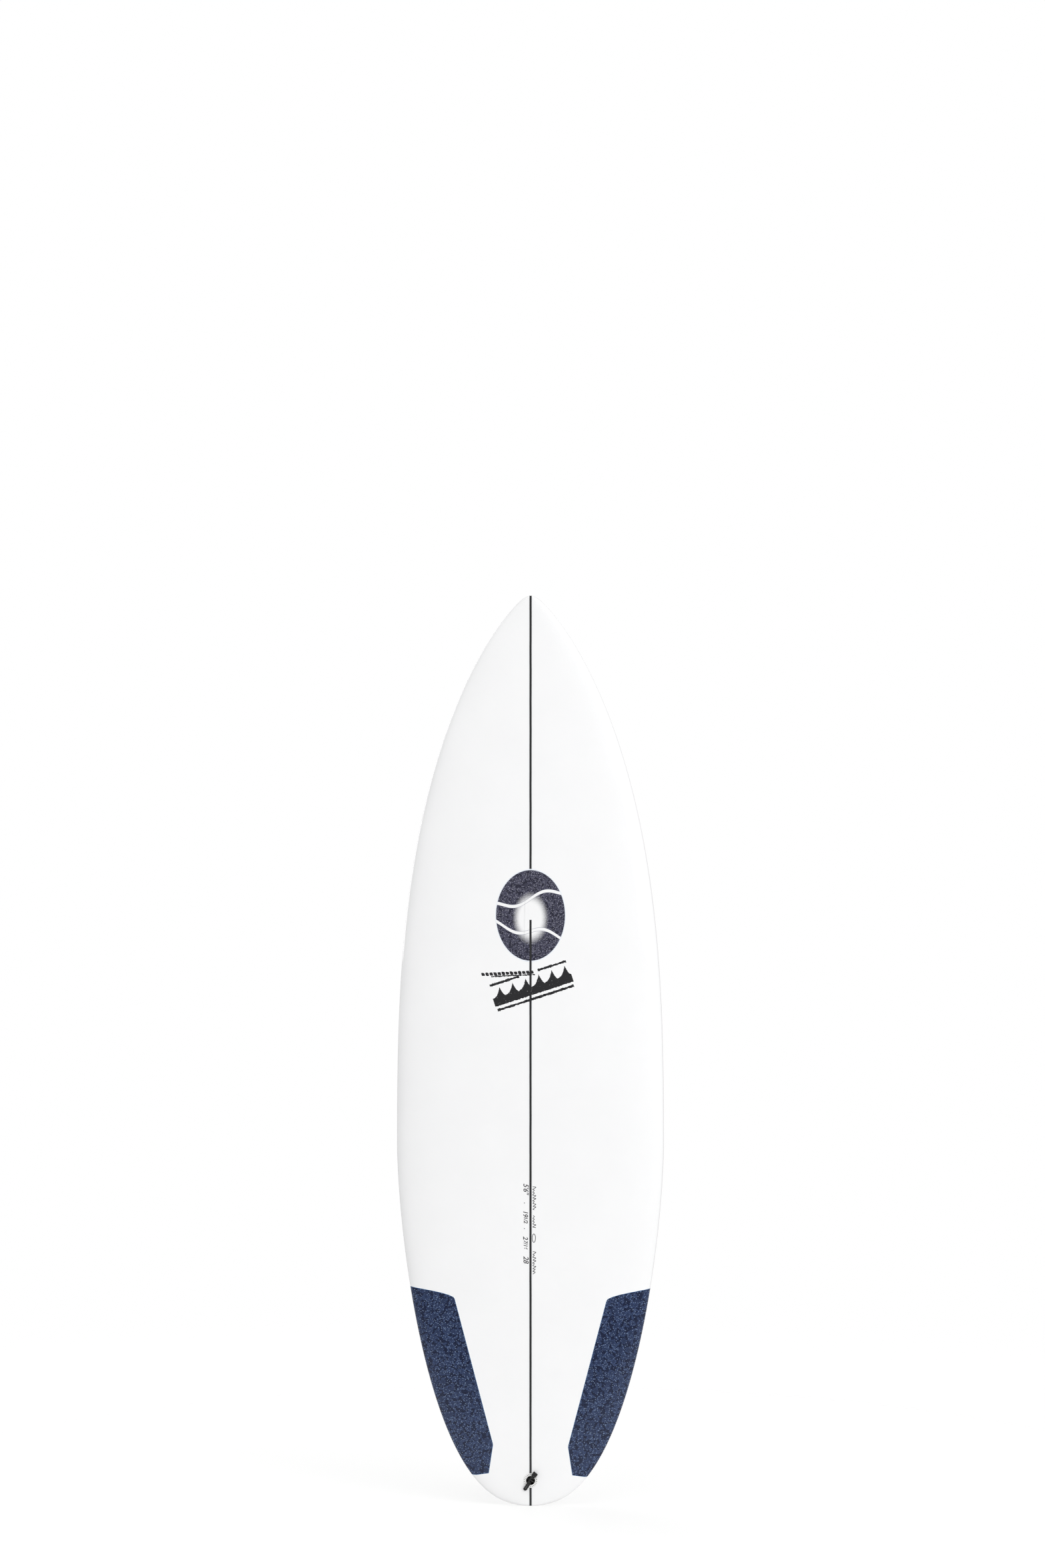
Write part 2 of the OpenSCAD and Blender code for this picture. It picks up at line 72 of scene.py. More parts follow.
# ---- Leash string ----
# A braided black cord, looped over and under the pin of the leash plug and closed with a knot.
# Its folded end lies on the deck. The board's own lines come first, since they place the plug.
deck_low, deck_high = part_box("deck_glass")
board_length = deck_high.z - deck_low.z
board_width = deck_high.x - deck_low.x
board_thickness = 0.0619
wide_point, thick_point, low_point = 0.660, 0.850, 0.800
nose_tip_thickness, tail_end_thickness = 0.011, 0.016
nose_rocker, tail_rocker = 0.114, 0.054
concave_depth = 0.0025
core_half = 0.0024
rail_share = 0.36
deck_round, bottom_round = 2.5, 6
tip_length, tip_overrun, end_slice = 0.006, 0.003, 0.0005
tail_curve, tail_fullness, nose_curve, nose_fullness = 1.58, 2.465, 2.76, 1.317
tail_thinning, tail_body, nose_thinning = 1.8, 0.8, 1.75
tail_lift, nose_lift = 2, 2.2


def half_width(z):
    c = min(max(z, end_slice), board_length - end_slice)
    if c < wide_point:
        tail = 1 - ((wide_point - c) / wide_point) ** tail_curve
        return board_width / 2 * tail ** (1 / tail_fullness)
    n = (c - wide_point) / (board_length + tip_overrun - wide_point)
    r = max(0, (c - board_length + tip_length) / tip_length)
    return board_width / 2 * (1 - n ** nose_curve) ** (1 / nose_fullness) * sqrt(1 - r * r)


def thickness(z):
    if z < thick_point:
        full = (1 - ((thick_point - z) / thick_point) ** tail_thinning) ** tail_body
        return tail_end_thickness + (board_thickness - tail_end_thickness) * full
    full = 1 - ((z - thick_point) / (board_length - thick_point)) ** nose_thinning
    return nose_tip_thickness + (board_thickness - nose_tip_thickness) * full


def rocker(z):
    if z < low_point:
        return tail_rocker * ((low_point - z) / low_point) ** tail_lift
    return nose_rocker * ((z - low_point) / (board_length - low_point)) ** nose_lift


def hollow(z, q):
    return concave_depth * sin(pi * z / board_length) * (1 - q * q) ** 2


def width_share(x, z):
    return min(1, max(0, (abs(x) - core_half) / (half_width(z) - core_half)))


def deck_y(x, z):
    q, t = width_share(x, z), thickness(z)
    rise = (1 - q ** deck_round) ** (1 / deck_round)
    return -rocker(z) - rail_share * t - (1 - rail_share) * t * rise


def bottom_y(x, z):
    q, t = width_share(x, z), thickness(z)
    fall = 1 - (1 - q ** bottom_round) ** (1 / bottom_round)
    return -rocker(z) - hollow(z, q) - rail_share * t * fall


def turn(axis, angle):
    return Matrix.Rotation(radians(angle), 4, axis)


plug_height, plug_span, pin_turn = 0.047, 0.010, -33
plug_slope = (deck_y(0, plug_height + plug_span) - deck_y(0, plug_height - plug_span)) / (2 * plug_span)
plug_frame = (Matrix.Translation((0, deck_y(0, plug_height), plug_height))
              @ turn("X", 90 - degrees(atan(plug_slope))))
pin_frame = plug_frame @ turn("Z", pin_turn)

# The route runs from the knot over the pin, round the fold, and back under the pin to the knot.
# It is given in millimetres along the pin, up the deck and out of the deck.
over_pin = [(-1.6, 17.8, 5.2), (-1.6, 14.5, 5.3), (-1.6, 12, 5.3), (-1.8, 9.5, 5), (-1.8, 8.3, 5),
            (-1.8, 6.4, 4), (-1.8, 4, 2.7), (-1.8, 0.5, 1.9), (-1.8, -3, 2.2), (-1.8, -6.5, 3.2),
            (-1.8, -9.5, 4.2), (-1.8, -11, 4.2)]
folded_end = [(-1.8, -12.8, 4.2), (-1.8, -14.8, 3.3), (-1.9, -17, 2.4), (-1.6, -19, 2), (0, -19.8, 1.9),
              (1.6, -19, 2), (1.9, -17, 2.4), (1.8, -14.8, 3.3), (1.8, -12.8, 4.2)]
under_pin = [(1.8, -11, 4.2), (1.8, -9.5, 4.2), (1.8, -7.8, 3.2), (1.8, -6.6, 2.1), (1.8, -5.9, 0.8),
             (1.8, -5.6, -0.8), (1.8, -5.4, -2.4), (1.8, -4.5, -4.6), (1.8, -2.6, -6.4), (1.8, 0, -7.1),
             (1.8, 2.6, -6.4), (1.8, 4.5, -4.6), (1.8, 5.4, -2.4), (1.8, 5.6, -0.8), (1.8, 5.9, 0.8),
             (1.8, 6.5, 2.1), (1.8, 7.2, 3.5), (1.8, 8, 4.7), (1.8, 8.9, 5), (1.8, 9.5, 5),
             (1.6, 12, 5.3), (1.6, 14.5, 5.3), (1.6, 18.3, 5.4)]
string_diameter = 0.0032
cord_step, cord_yarns, cord_ridge, cord_lay = 0.0003, 6, 0.07, 0.0085


def in_metres(points, place):
    return [place @ (Vector(p) / 1000) for p in points]


def smooth_path(points, step):
    """Points about a step apart on a smooth curve through the given points."""
    path = []
    ends = [2 * points[0] - points[1], *points, 2 * points[-1] - points[-2]]
    for a, b, c, d in zip(ends, ends[1:], ends[2:], ends[3:]):
        count = max(1, round((c - b).length / step))
        for k in range(count):
            t = k / count
            path.append(0.5 * (2 * b + (c - a) * t + (2 * a - 5 * b + 4 * c - d) * t ** 2
                               + (3 * b - a - 3 * c + d) * t ** 3))
    return [*path, points[-1]]


def path_length(path):
    return sum((b - a).length for a, b in zip(path, path[1:]))


def braided_tube(name, path, radius, sides):
    """A tube along the path whose surface has the crossing ridges of a braid, with melted round ends."""
    run, side = 0, Vector((1, 0, 0))
    whole = path_length(path)
    points, faces, spots = [], [], []
    for i, p in enumerate(path):
        head = (path[min(i + 1, len(path) - 1)] - path[max(i - 1, 0)]).normalized()
        side = (side - side.dot(head) * head).normalized()
        other = head.cross(side)
        if i:
            run += (p - path[i - 1]).length
        from_end = min(run, whole - run) / radius
        narrow = sqrt(max(0.02, 1 - (1 - min(1, from_end)) ** 2))
        for s in range(sides):
            a = 2 * pi * s / sides
            right = sin(cord_yarns * a + 2 * pi * run / cord_lay)
            left = sin(cord_yarns * a - 2 * pi * run / cord_lay)
            r = radius * narrow * (1 - cord_ridge + cord_ridge * max(right, left))
            points.append(p + r * (cos(a) * side + sin(a) * other))
            spots.append((s / sides, run))
    rings = len(path)
    for i in range(rings - 1):
        for s in range(sides):
            n = (s + 1) % sides
            faces.append((i * sides + s, i * sides + n, (i + 1) * sides + n, (i + 1) * sides + s))
    faces.append(tuple(range(sides - 1, -1, -1)))
    faces.append(tuple((rings - 1) * sides + s for s in range(sides)))
    mesh = bpy.data.meshes.new(name)
    mesh.from_pydata(points, [], faces)
    layer = mesh.uv_layers.new(name="along")
    for loop in mesh.loops:
        layer.data[loop.index].uv = spots[loop.vertex_index]
    piece = bpy.data.objects.new(name, mesh)
    scene.collection.objects.link(piece)
    mesh.shade_smooth()
    return piece


string_route = smooth_path(in_metres([*over_pin, *folded_end, *under_pin], pin_frame), cord_step)
leash_cord = braided_tube("leash_cord", string_route, string_diameter / 2, 20)

# The knot is a little over three tight turns of the same cord round both strands.
knot_turns, knot_steps, knot_start = 3.2, 24, 2.2
knot_radius, knot_wrap, knot_from, knot_pitch, knot_level = 3.3, 0.0017, 10.4, 2.2, 5.9
wrap_points = []
for k in range(round(knot_turns * knot_steps) + 1):
    a = 2 * pi * k / knot_steps + knot_start
    wrap_points.append((knot_radius * cos(a), knot_from + knot_pitch * k / knot_steps,
                        knot_level + knot_radius * sin(a)))
leash_wraps = braided_tube("leash_knot_wraps", smooth_path(in_metres(wrap_points, pin_frame), cord_step),
                           knot_wrap, 16)

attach(leash_wraps, "board")
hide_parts("leash_knot")
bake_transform(leash_cord)
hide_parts("leash_string", "leash_string_end")
tuple(string_route[0])
path_length(string_route)
[tuple(p) for p in string_route[::4] + string_route[-1:]]


class Amount:
    """A number that varies over a surface. An expression on it adds Math nodes."""

    def __init__(self, finish, socket):
        self.finish = finish
        self.socket = socket

    def of(self, output):
        return Amount(self.finish, self.socket.node.outputs[output])

    def __add__(self, other):
        return self.finish.math("ADD", self, other)

    def __sub__(self, other):
        return self.finish.math("SUBTRACT", self, other)

    def __rsub__(self, other):
        return self.finish.math("SUBTRACT", other, self)

    def __mul__(self, other):
        return self.finish.math("MULTIPLY", self, other)

    def __truediv__(self, other):
        return self.finish.math("DIVIDE", self, other)

    def __abs__(self):
        return self.finish.math("ABSOLUTE", self)

    __radd__ = __add__
    __rmul__ = __mul__


class Finish:
    """A material being made. Its nodes come from node(), and its shader's sockets from set()."""

    def __init__(self, name, **sockets):
        self.material = bpy.data.materials.new(name)
        self.material.use_nodes = True
        self.tree = self.material.node_tree
        self.shader = self.tree.nodes["Principled BSDF"]
        self.set(**sockets)

    def plug(self, node, key, value):
        if isinstance(value, Amount):
            self.tree.links.new(value.socket, node.inputs[key])
        else:
            node.inputs[key].default_value = value

    def set(self, **sockets):
        for key, value in sockets.items():
            self.plug(self.shader, key.replace("_", " ").title().replace("Ior", "IOR"), value)

    def node(self, kind, settings, sockets, output=0):
        made = self.tree.nodes.new("ShaderNode" + kind)
        for key, value in settings.items():
            setattr(made, key, value)
        for key, value in sockets.items():
            self.plug(made, key, value)
        return Amount(self, made.outputs[output])

    def math(self, operation, *values):
        return self.node("Math", {"operation": operation}, dict(enumerate(values)))

    def place(self, scale=1000):
        """The surface point in millimetres, across, out and up, as a vector."""
        point = self.node("TexCoord", {}, {}, "Object")
        return self.node("VectorMath", {"operation": "SCALE"}, {0: point, "Scale": scale})

    def parts(self, vector):
        x = self.node("SeparateXYZ", {}, {0: vector})
        return x, x.of(1), x.of(2)

    def joined(self, x, y, z=0):
        return self.node("CombineXYZ", {}, {0: x, 1: y, 2: z})

    def step(self, value, low, high):
        """0 below low and 1 above high, with a smooth change between."""
        return self.node("MapRange", {"interpolation_type": "SMOOTHSTEP"},
                         {"Value": value, "From Min": low, "From Max": high})

    def under(self, value, high, soft):
        return 1 - self.step(value, high - soft, high + soft)

    def noise(self, vector, scale, detail=2, output=0):
        return self.node("TexNoise", {}, {"Vector": vector, "Scale": scale, "Detail": detail}, output)

    def cells(self, vector, scale, output, randomness=1, dimensions="2D"):
        return self.node("TexVoronoi", {"voronoi_dimensions": dimensions},
                         {"Vector": vector, "Scale": scale, "Randomness": randomness}, output)

    def mix(self, factor, a, b):
        return self.node("Mix", {"data_type": "RGBA"}, {0: factor, 6: a, 7: b}, 2)

    def bump(self, height, depth, strength=1, under=None):
        sockets = {"Height": height, "Distance": depth, "Strength": strength}
        if under:
            sockets["Normal"] = under
        return self.node("Bump", {}, sockets)


def paint(piece, finish):
    """Gives a piece one material."""
    piece.data.materials.clear()
    piece.data.materials.append(finish.material)
    for face in piece.data.polygons:
        face.material_index = 0


# Black braid: matt, with paler worn yarn tops and fine fuzz between the ridges.
braid = Finish("black_braid", roughness=0.72, sheen_weight=0.35, sheen_roughness=0.4)
along = braid.node("TexCoord", {}, {}, "UV")
around, run, _ = braid.parts(along)
yarn_turn, yarn_lay = around * (2 * pi * cord_yarns), run * (2 * pi / cord_lay)
yarn_right = braid.math("SINE", yarn_turn + yarn_lay)
yarn_left = braid.math("SINE", yarn_turn - yarn_lay)
yarn_top = braid.math("MAXIMUM", yarn_right, yarn_left)
fibres = braid.noise(braid.joined(around * 60, run * 2500), 1, 4)
top_wear = braid.step(yarn_top * 0.6 + fibres, 0.75, 1.35)
braid.set(base_color=braid.mix(top_wear, (0.006, 0.006, 0.007, 1), (0.030, 0.030, 0.033, 1)),
          normal=braid.bump(fibres, 0.0001, 0.6))
paint(leash_cord, braid)
paint(leash_wraps, braid)


# ---- Foam core, stringer and glue lines ----
# Two halves of shaped white foam are glued to a thin black-dyed wood stringer.
# They stay as packed, and only their cut surfaces could be seen round the plug and the fin boxes.
foam = Finish("blank_foam", roughness=0.95)
foam_cells = foam.cells(foam.place(), 2.2, "Distance", dimensions="3D")
foam.set(base_color=foam.mix(foam_cells, (0.86, 0.84, 0.77, 1), (0.93, 0.92, 0.87, 1)),
         normal=foam.bump(foam_cells, 0.0003, 0.7))
paint(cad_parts["foam_left"], foam)
paint(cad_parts["foam_right"], foam)

dyed_wood = Finish("dyed_wood", roughness=0.6)
wood_x, wood_y, wood_z = dyed_wood.parts(dyed_wood.place())
grain = dyed_wood.noise(dyed_wood.joined(wood_x * 2, wood_y * 1.4, wood_z * 0.02), 1, 5)
dyed_wood.set(base_color=dyed_wood.mix(grain, (0.008, 0.008, 0.009, 1), (0.045, 0.042, 0.040, 1)),
              normal=dyed_wood.bump(grain, 0.0002, 0.5))
paint(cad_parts["stringer"], dyed_wood)

glue = Finish("glue_line", roughness=0.35)
glue_flow = glue.noise(glue.place(), 0.4, 3)
glue.set(base_color=glue.mix(glue_flow, (0.62, 0.62, 0.58, 1), (0.78, 0.78, 0.75, 1)))
paint(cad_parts["glue_line_left"], glue)
paint(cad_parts["glue_line_right"], glue)


# ---- Glass skins ----
# Glass cloth and polyester resin over the foam, sanded and finished with a hard gloss coat.
# The deck skin and the bottom skin meet at the rail's widest line, and the ends are rounded over.
skin_thickness = 0.001
tail_rounding, nose_rounding = 0.0025, 0.0035
deck_columns, bottom_columns, flat_columns, flat_share = 30, 26, 12, 0.9


def nothing_selected():
    if bpy.context.object and bpy.context.object.mode != "OBJECT":
        bpy.ops.object.mode_set(mode="OBJECT")
    bpy.ops.object.select_all(action="DESELECT")


def only(piece):
    """Makes a piece the one selected and active."""
    nothing_selected()
    piece.select_set(True)
    bpy.context.view_layer.objects.active = piece


def placed_grid(name, columns, rows, place):
    """A grid of columns and rows of points, each put where place(column, row) says."""
    nothing_selected()
    bpy.ops.mesh.primitive_grid_add(x_subdivisions=columns - 1, y_subdivisions=rows - 1, size=1)
    piece = bpy.context.object
    piece.name = piece.data.name = name
    for v in piece.data.vertices:
        column = round((v.co.x + 0.5) * (columns - 1))
        row = round((v.co.y + 0.5) * (rows - 1))
        v.co = place(column, row)
    return piece


@contextmanager
def edit(piece, keep_edges=None, keep_faces=None, keep_points=None):
    """Edits a piece with only the edges, faces or points selected that the test keeps."""
    only(piece)
    mesh = piece.data
    bpy.ops.object.mode_set(mode="EDIT")
    mode = "EDGE" if keep_edges else "FACE" if keep_faces else "VERT"
    bpy.ops.mesh.select_mode(type=mode)
    bpy.ops.mesh.select_all(action="SELECT" if not (keep_edges or keep_faces or keep_points) else "DESELECT")
    bm = bmesh.from_edit_mesh(mesh)
    for part, test in ((bm.edges, keep_edges), (bm.faces, keep_faces), (bm.verts, keep_points)):
        if test:
            for e in part:
                if test(e):
                    e.select = True
    bm.select_flush(True)
    bmesh.update_edit_mesh(mesh)
    yield
    bpy.ops.object.mode_set(mode="OBJECT")


def both_ends(test):
    """Picks the edges whose two ends both pass a test of their place."""
    return lambda e: all(test(v.co) for v in e.verts)


def outwards(piece):
    """Merges doubled points and turns every face outwards."""
    with edit(piece):
        bpy.ops.mesh.remove_doubles(threshold=0.00001)
        bpy.ops.mesh.normals_make_consistent(inside=False)


def modify(piece, kind, **settings):
    only(piece)
    modifier = piece.modifiers.new(kind.lower(), kind)
    for key, value in settings.items():
        setattr(modifier, key, value)
    bpy.ops.object.modifier_apply(modifier=modifier.name)


def merge(piece, other, operation):
    """Cuts another piece out of a piece, or joins it on, and removes the other."""
    modify(piece, "BOOLEAN", operation=operation, solver="EXACT", object=other)
    bpy.data.objects.remove(other)


def cut(piece, cutter):
    merge(piece, cutter, "DIFFERENCE")


def smooth(piece, angle):
    only(piece)
    bpy.ops.object.shade_smooth_by_angle(angle=radians(angle))


def end_rows(rounding):
    """Height above the end and inset of the section, for the rows that round an end over."""
    turns = [radians(a) for a in (0, 15, 30, 45, 60, 75)]
    return [(rounding * (1 - cos(a)), rounding * (1 - sin(a))) for a in turns]


main_rows = 170
skin_rows = end_rows(tail_rounding)
for k in range(main_rows + 1):
    z = board_length * (1 - cos(pi * k / main_rows)) / 2
    if tail_rounding < z < board_length - nose_rounding:
        skin_rows.append((z, 0))
skin_rows += [(board_length - z, inset) for z, inset in reversed(end_rows(nose_rounding))]


def x_at(q, z):
    """Distance from the board's middle, where q is 0 at the stringer and 1 at the rail."""
    return core_half + (half_width(z) - core_half) * q


def deck_point(column, row):
    z, inset = skin_rows[row]
    across = column - deck_columns
    f = pi / 2 * abs(across) / deck_columns
    q = sin(f) ** (2 / deck_round)
    t = thickness(z)
    v = rail_share * t + (t * (1 - rail_share) - inset) * max(0, cos(f)) ** (2 / deck_round)
    x = x_at(q, z) if across else 0
    return Vector((copysign(x, across), -rocker(z) - v, z))


def bottom_point(column, row):
    z, inset = skin_rows[row]
    across = column - bottom_columns
    if abs(across) <= flat_columns:
        q = flat_share * abs(across) / flat_columns
    else:
        start = asin(flat_share ** (bottom_round / 2))
        f = start + (pi / 2 - start) * (abs(across) - flat_columns) / (bottom_columns - flat_columns)
        q = sin(f) ** (2 / bottom_round)
    t = thickness(z)
    fall = 1 - max(0, 1 - q ** bottom_round) ** (1 / bottom_round)
    v = inset + (rail_share * t - inset) * fall + hollow(z, q)
    x = x_at(q, z) if across else 0
    return Vector((copysign(x, across), -rocker(z) - v, z))


def closed_ends(piece):
    for end in (0, board_length):
        with edit(piece, keep_edges=both_ends(lambda p: abs(p.z - end) < 0.000001)):
            bpy.ops.mesh.edge_face_add()


deck_skin = placed_grid("deck_skin", 2 * deck_columns + 1, len(skin_rows), deck_point)
bottom_skin = placed_grid("bottom_skin", 2 * bottom_columns + 1, len(skin_rows), bottom_point)
for skin in (deck_skin, bottom_skin):
    closed_ends(skin)
    outwards(skin)
    modify(skin, "SOLIDIFY", thickness=skin_thickness, offset=-1, use_even_offset=False)

# The plug's hole goes through the deck skin.
plug_hole_radius, cutter_depth = 0.0121, 0.03
nothing_selected()
bpy.ops.mesh.primitive_cylinder_add(vertices=64, radius=plug_hole_radius, depth=cutter_depth)
plug_cutter = bpy.context.object
plug_cutter.data.transform(plug_frame)
cut(deck_skin, plug_cutter)

# The fin boxes' holes go through the bottom skin. A box frame has X across the slot, Y out of the
# bottom and Z towards the nose, with its origin in the middle of the fin's base.
fin_base, side_fin_tail, centre_fin_tail, side_fin_rail, side_fin_toe = 0.112, 0.280, 0.089, 0.034, 3
fin_sides = {"left": -1, "centre": 0, "right": 1}
slope_up, slope_across = 0.020, 0.005


def fin_frame(side):
    z = fin_base / 2 + (side_fin_tail if side else centre_fin_tail)
    x = side * (half_width(side_fin_tail) - side_fin_rail)
    up = (bottom_y(x, z + slope_up) - bottom_y(x, z - slope_up)) / (2 * slope_up)
    across = (bottom_y(x + slope_across, z) - bottom_y(x - slope_across, z)) / (2 * slope_across)
    lean = degrees(atan(across)) if side else 0
    return (Matrix.Translation((x, bottom_y(x, z), z)) @ turn("Z", lean)
            @ turn("X", -degrees(atan(up))) @ turn("Y", -side * side_fin_toe))


def round_ended(name, length, width, low, high):
    """A block with round ends along Z, from low to high along Y."""
    nothing_selected()
    bpy.ops.mesh.primitive_cylinder_add(vertices=64, radius=width / 2, depth=high - low,
                                        location=(0, (low + high) / 2, 0), rotation=(pi / 2, 0, 0))
    piece = bpy.context.object
    piece.name = piece.data.name = name
    bpy.ops.object.transform_apply()
    for end in (-1, 1):
        with edit(piece, keep_points=lambda v: v.co.z * end > 0.00001):
            bpy.ops.transform.translate(value=(0, 0, end * (length - width) / 2))
    return piece


box_length, box_width, bed, pocket_tuck = 0.128, 0.024, 0.0015, 0.0004
for side in fin_sides.values():
    pocket = round_ended("pocket", box_length - pocket_tuck, box_width - pocket_tuck, -0.02, 0.01)
    pocket.data.transform(fin_frame(side))
    cut(bottom_skin, pocket)

# White gloss resin. The stringer shows through as a dark line with a pale glue line on each side.
stringer_half, halo_half, glue_line_at = 2.05, 3.4, 4.6


def under_gloss(name, rough=0.5, shine=0.1):
    """A finish with hardly any shine of its own, under the clear gloss coat."""
    return Finish(name, roughness=rough, specular_ior_level=shine, coat_weight=1.0, coat_roughness=0.03)


def resin_white(finish, point):
    return finish.mix(finish.noise(point, 0.012, 3), (0.885, 0.885, 0.888, 1), (0.925, 0.925, 0.927, 1))


def orange_peel(finish, point, under=None):
    return finish.bump(finish.noise(point, 0.35, 2), 0.00008, 0.3, under=under)


def off_stringer(finish, x, z):
    """Distance in millimetres from the stringer's line, which wanders a little."""
    return abs(x + (finish.noise(finish.joined(0, 0, z), 0.02, 2) - 0.5) * 0.7)


def gloss_white(name):
    white = under_gloss(name, rough=0.45)
    point = white.place()
    x, _, z = white.parts(point)
    off = off_stringer(white, x, z)
    seam = white.under(abs(off - glue_line_at), 0.35, 0.3) * 0.16
    halo = white.under(off, halo_half, 1.0) * 0.30
    body = white.mix(halo + seam, resin_white(white, point), (0.62, 0.64, 0.67, 1))
    grain = white.noise(white.joined(x * 1.6, 0, z * 0.05), 1, 4)
    wood = white.mix(grain, (0.006, 0.006, 0.007, 1), (0.040, 0.040, 0.042, 1))
    body = white.mix(white.under(off, stringer_half, 0.4), body, wood)
    ripple = white.bump(white.noise(point, 0.02, 2), 0.0012, 0.25)
    white.set(base_color=body, normal=orange_peel(white, point, under=ripple))
    return white


for word, skin in (("deck", deck_skin), ("bottom", bottom_skin)):
    smooth(skin, 35)
    paint(skin, gloss_white(f"{word}_gloss"))
    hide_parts(f"{word}_glass")
    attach(skin, "board")


# ---- Tail patches ----
# Navy printed cloth laid under the gloss coat on each side of the tail, cut with a knife.
# Its outer edge runs down the rail, and a thin pale blue fringe of painted light lies along the cuts and the
# rail.
patch_top, patch_top_in, patch_low, patch_low_in = 0.380, 0.140, 0.113, 0.069
patch_foot, patch_step, patch_run, patch_slant = 0.060, 0.008, 0.023, 0.004
patch_top_rise, patch_top_reach, patch_top_power = 0.023, 0.100, 0.5
patch_drop = {-1: 0, 1: 0.004}
print_proud, sheet_thickness = 0.00006, 0.0007


def patch_inner_x(z):
    if z < patch_low:
        return patch_low_in + patch_step * (patch_low - z) / (patch_low - patch_foot)
    return patch_low_in + (patch_top_in - patch_low_in) * (z - patch_low) / (patch_top - patch_low)


def patch_top_z(x):
    return patch_top + patch_top_rise * max(0, (x - patch_top_in) / patch_top_reach) ** patch_top_power


def patch_foot_z(x):
    return patch_foot - patch_slant * min(1, max(0, (x - patch_low_in - patch_step) / patch_run))


def spaced(count, edge):
    """Shares from 0 to 1, with two narrow steps at each end."""
    inner = [edge * 2 + (1 - edge * 4) * k / (count - 1) for k in range(count)]
    return [0, edge, *inner, 1 - edge, 1]


patch_rows = spaced(96, 0.004)
patch_columns = spaced(30, 0.012)


def patch_point(side, column, row):
    """The patch follows the deck from its inner cut to the rail's widest line."""
    share, level = patch_columns[column], patch_rows[row]
    z = patch_foot + (patch_top - patch_foot) * level
    for _ in range(8):
        inner = width_share(patch_inner_x(min(patch_top, max(patch_foot, z + patch_drop[side]))), z)
        f_in = asin(inner ** (deck_round / 2))
        f = f_in + (pi / 2 - f_in) * share
        q = sin(f) ** (2 / deck_round)
        x = x_at(q, z)
        foot, top = patch_foot_z(x), patch_top_z(x)
        z = foot + (top - foot) * level - patch_drop[side]
    t = thickness(z)
    v = rail_share * t + (t * (1 - rail_share)) * max(0, cos(f)) ** (2 / deck_round)
    return Vector((side * (x + print_proud * sin(f)), -rocker(z) - v - print_proud * cos(f), z))


def face_front(piece):
    """Turns an open sheet's faces towards the deck side."""
    outwards(piece)
    if sum(p.normal.y * p.area for p in piece.data.polygons) > 0:
        with edit(piece):
            bpy.ops.mesh.flip_normals()


tail_patches = {}
for word, side in (("left", -1), ("right", 1)):
    patch = placed_grid(f"tail_patch_{word}_print", len(patch_columns), len(patch_rows),
                        lambda column, row: patch_point(side, column, row))
    edge = patch.data.attributes.new("from_cut", "FLOAT", "POINT")
    for v in patch.data.vertices:
        x, z = abs(v.co.x), v.co.z
        laid = z + patch_drop[side]
        to_rail = (half_width(z) - x) * 0.9 + (v.co.y + rocker(z) + rail_share * thickness(z)) * -0.6
        to_inner = abs(x - patch_inner_x(min(patch_top, max(patch_foot, laid))))
        to_ends = min(laid - patch_foot_z(x), patch_top_z(x) - laid)
        edge.data[v.index].value = 1000 * min(to_ends, to_inner, max(0, to_rail))
    face_front(patch)
    modify(patch, "SOLIDIFY", thickness=sheet_thickness, offset=-1)
    smooth(patch, 40)
    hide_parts(f"tail_patch_{word}")
    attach(patch, "board")
    tail_patches[word] = patch


flower_pitch, flower_petals, leaf_pitch, dot_pitch = 15, 8, 8.5, 3.6


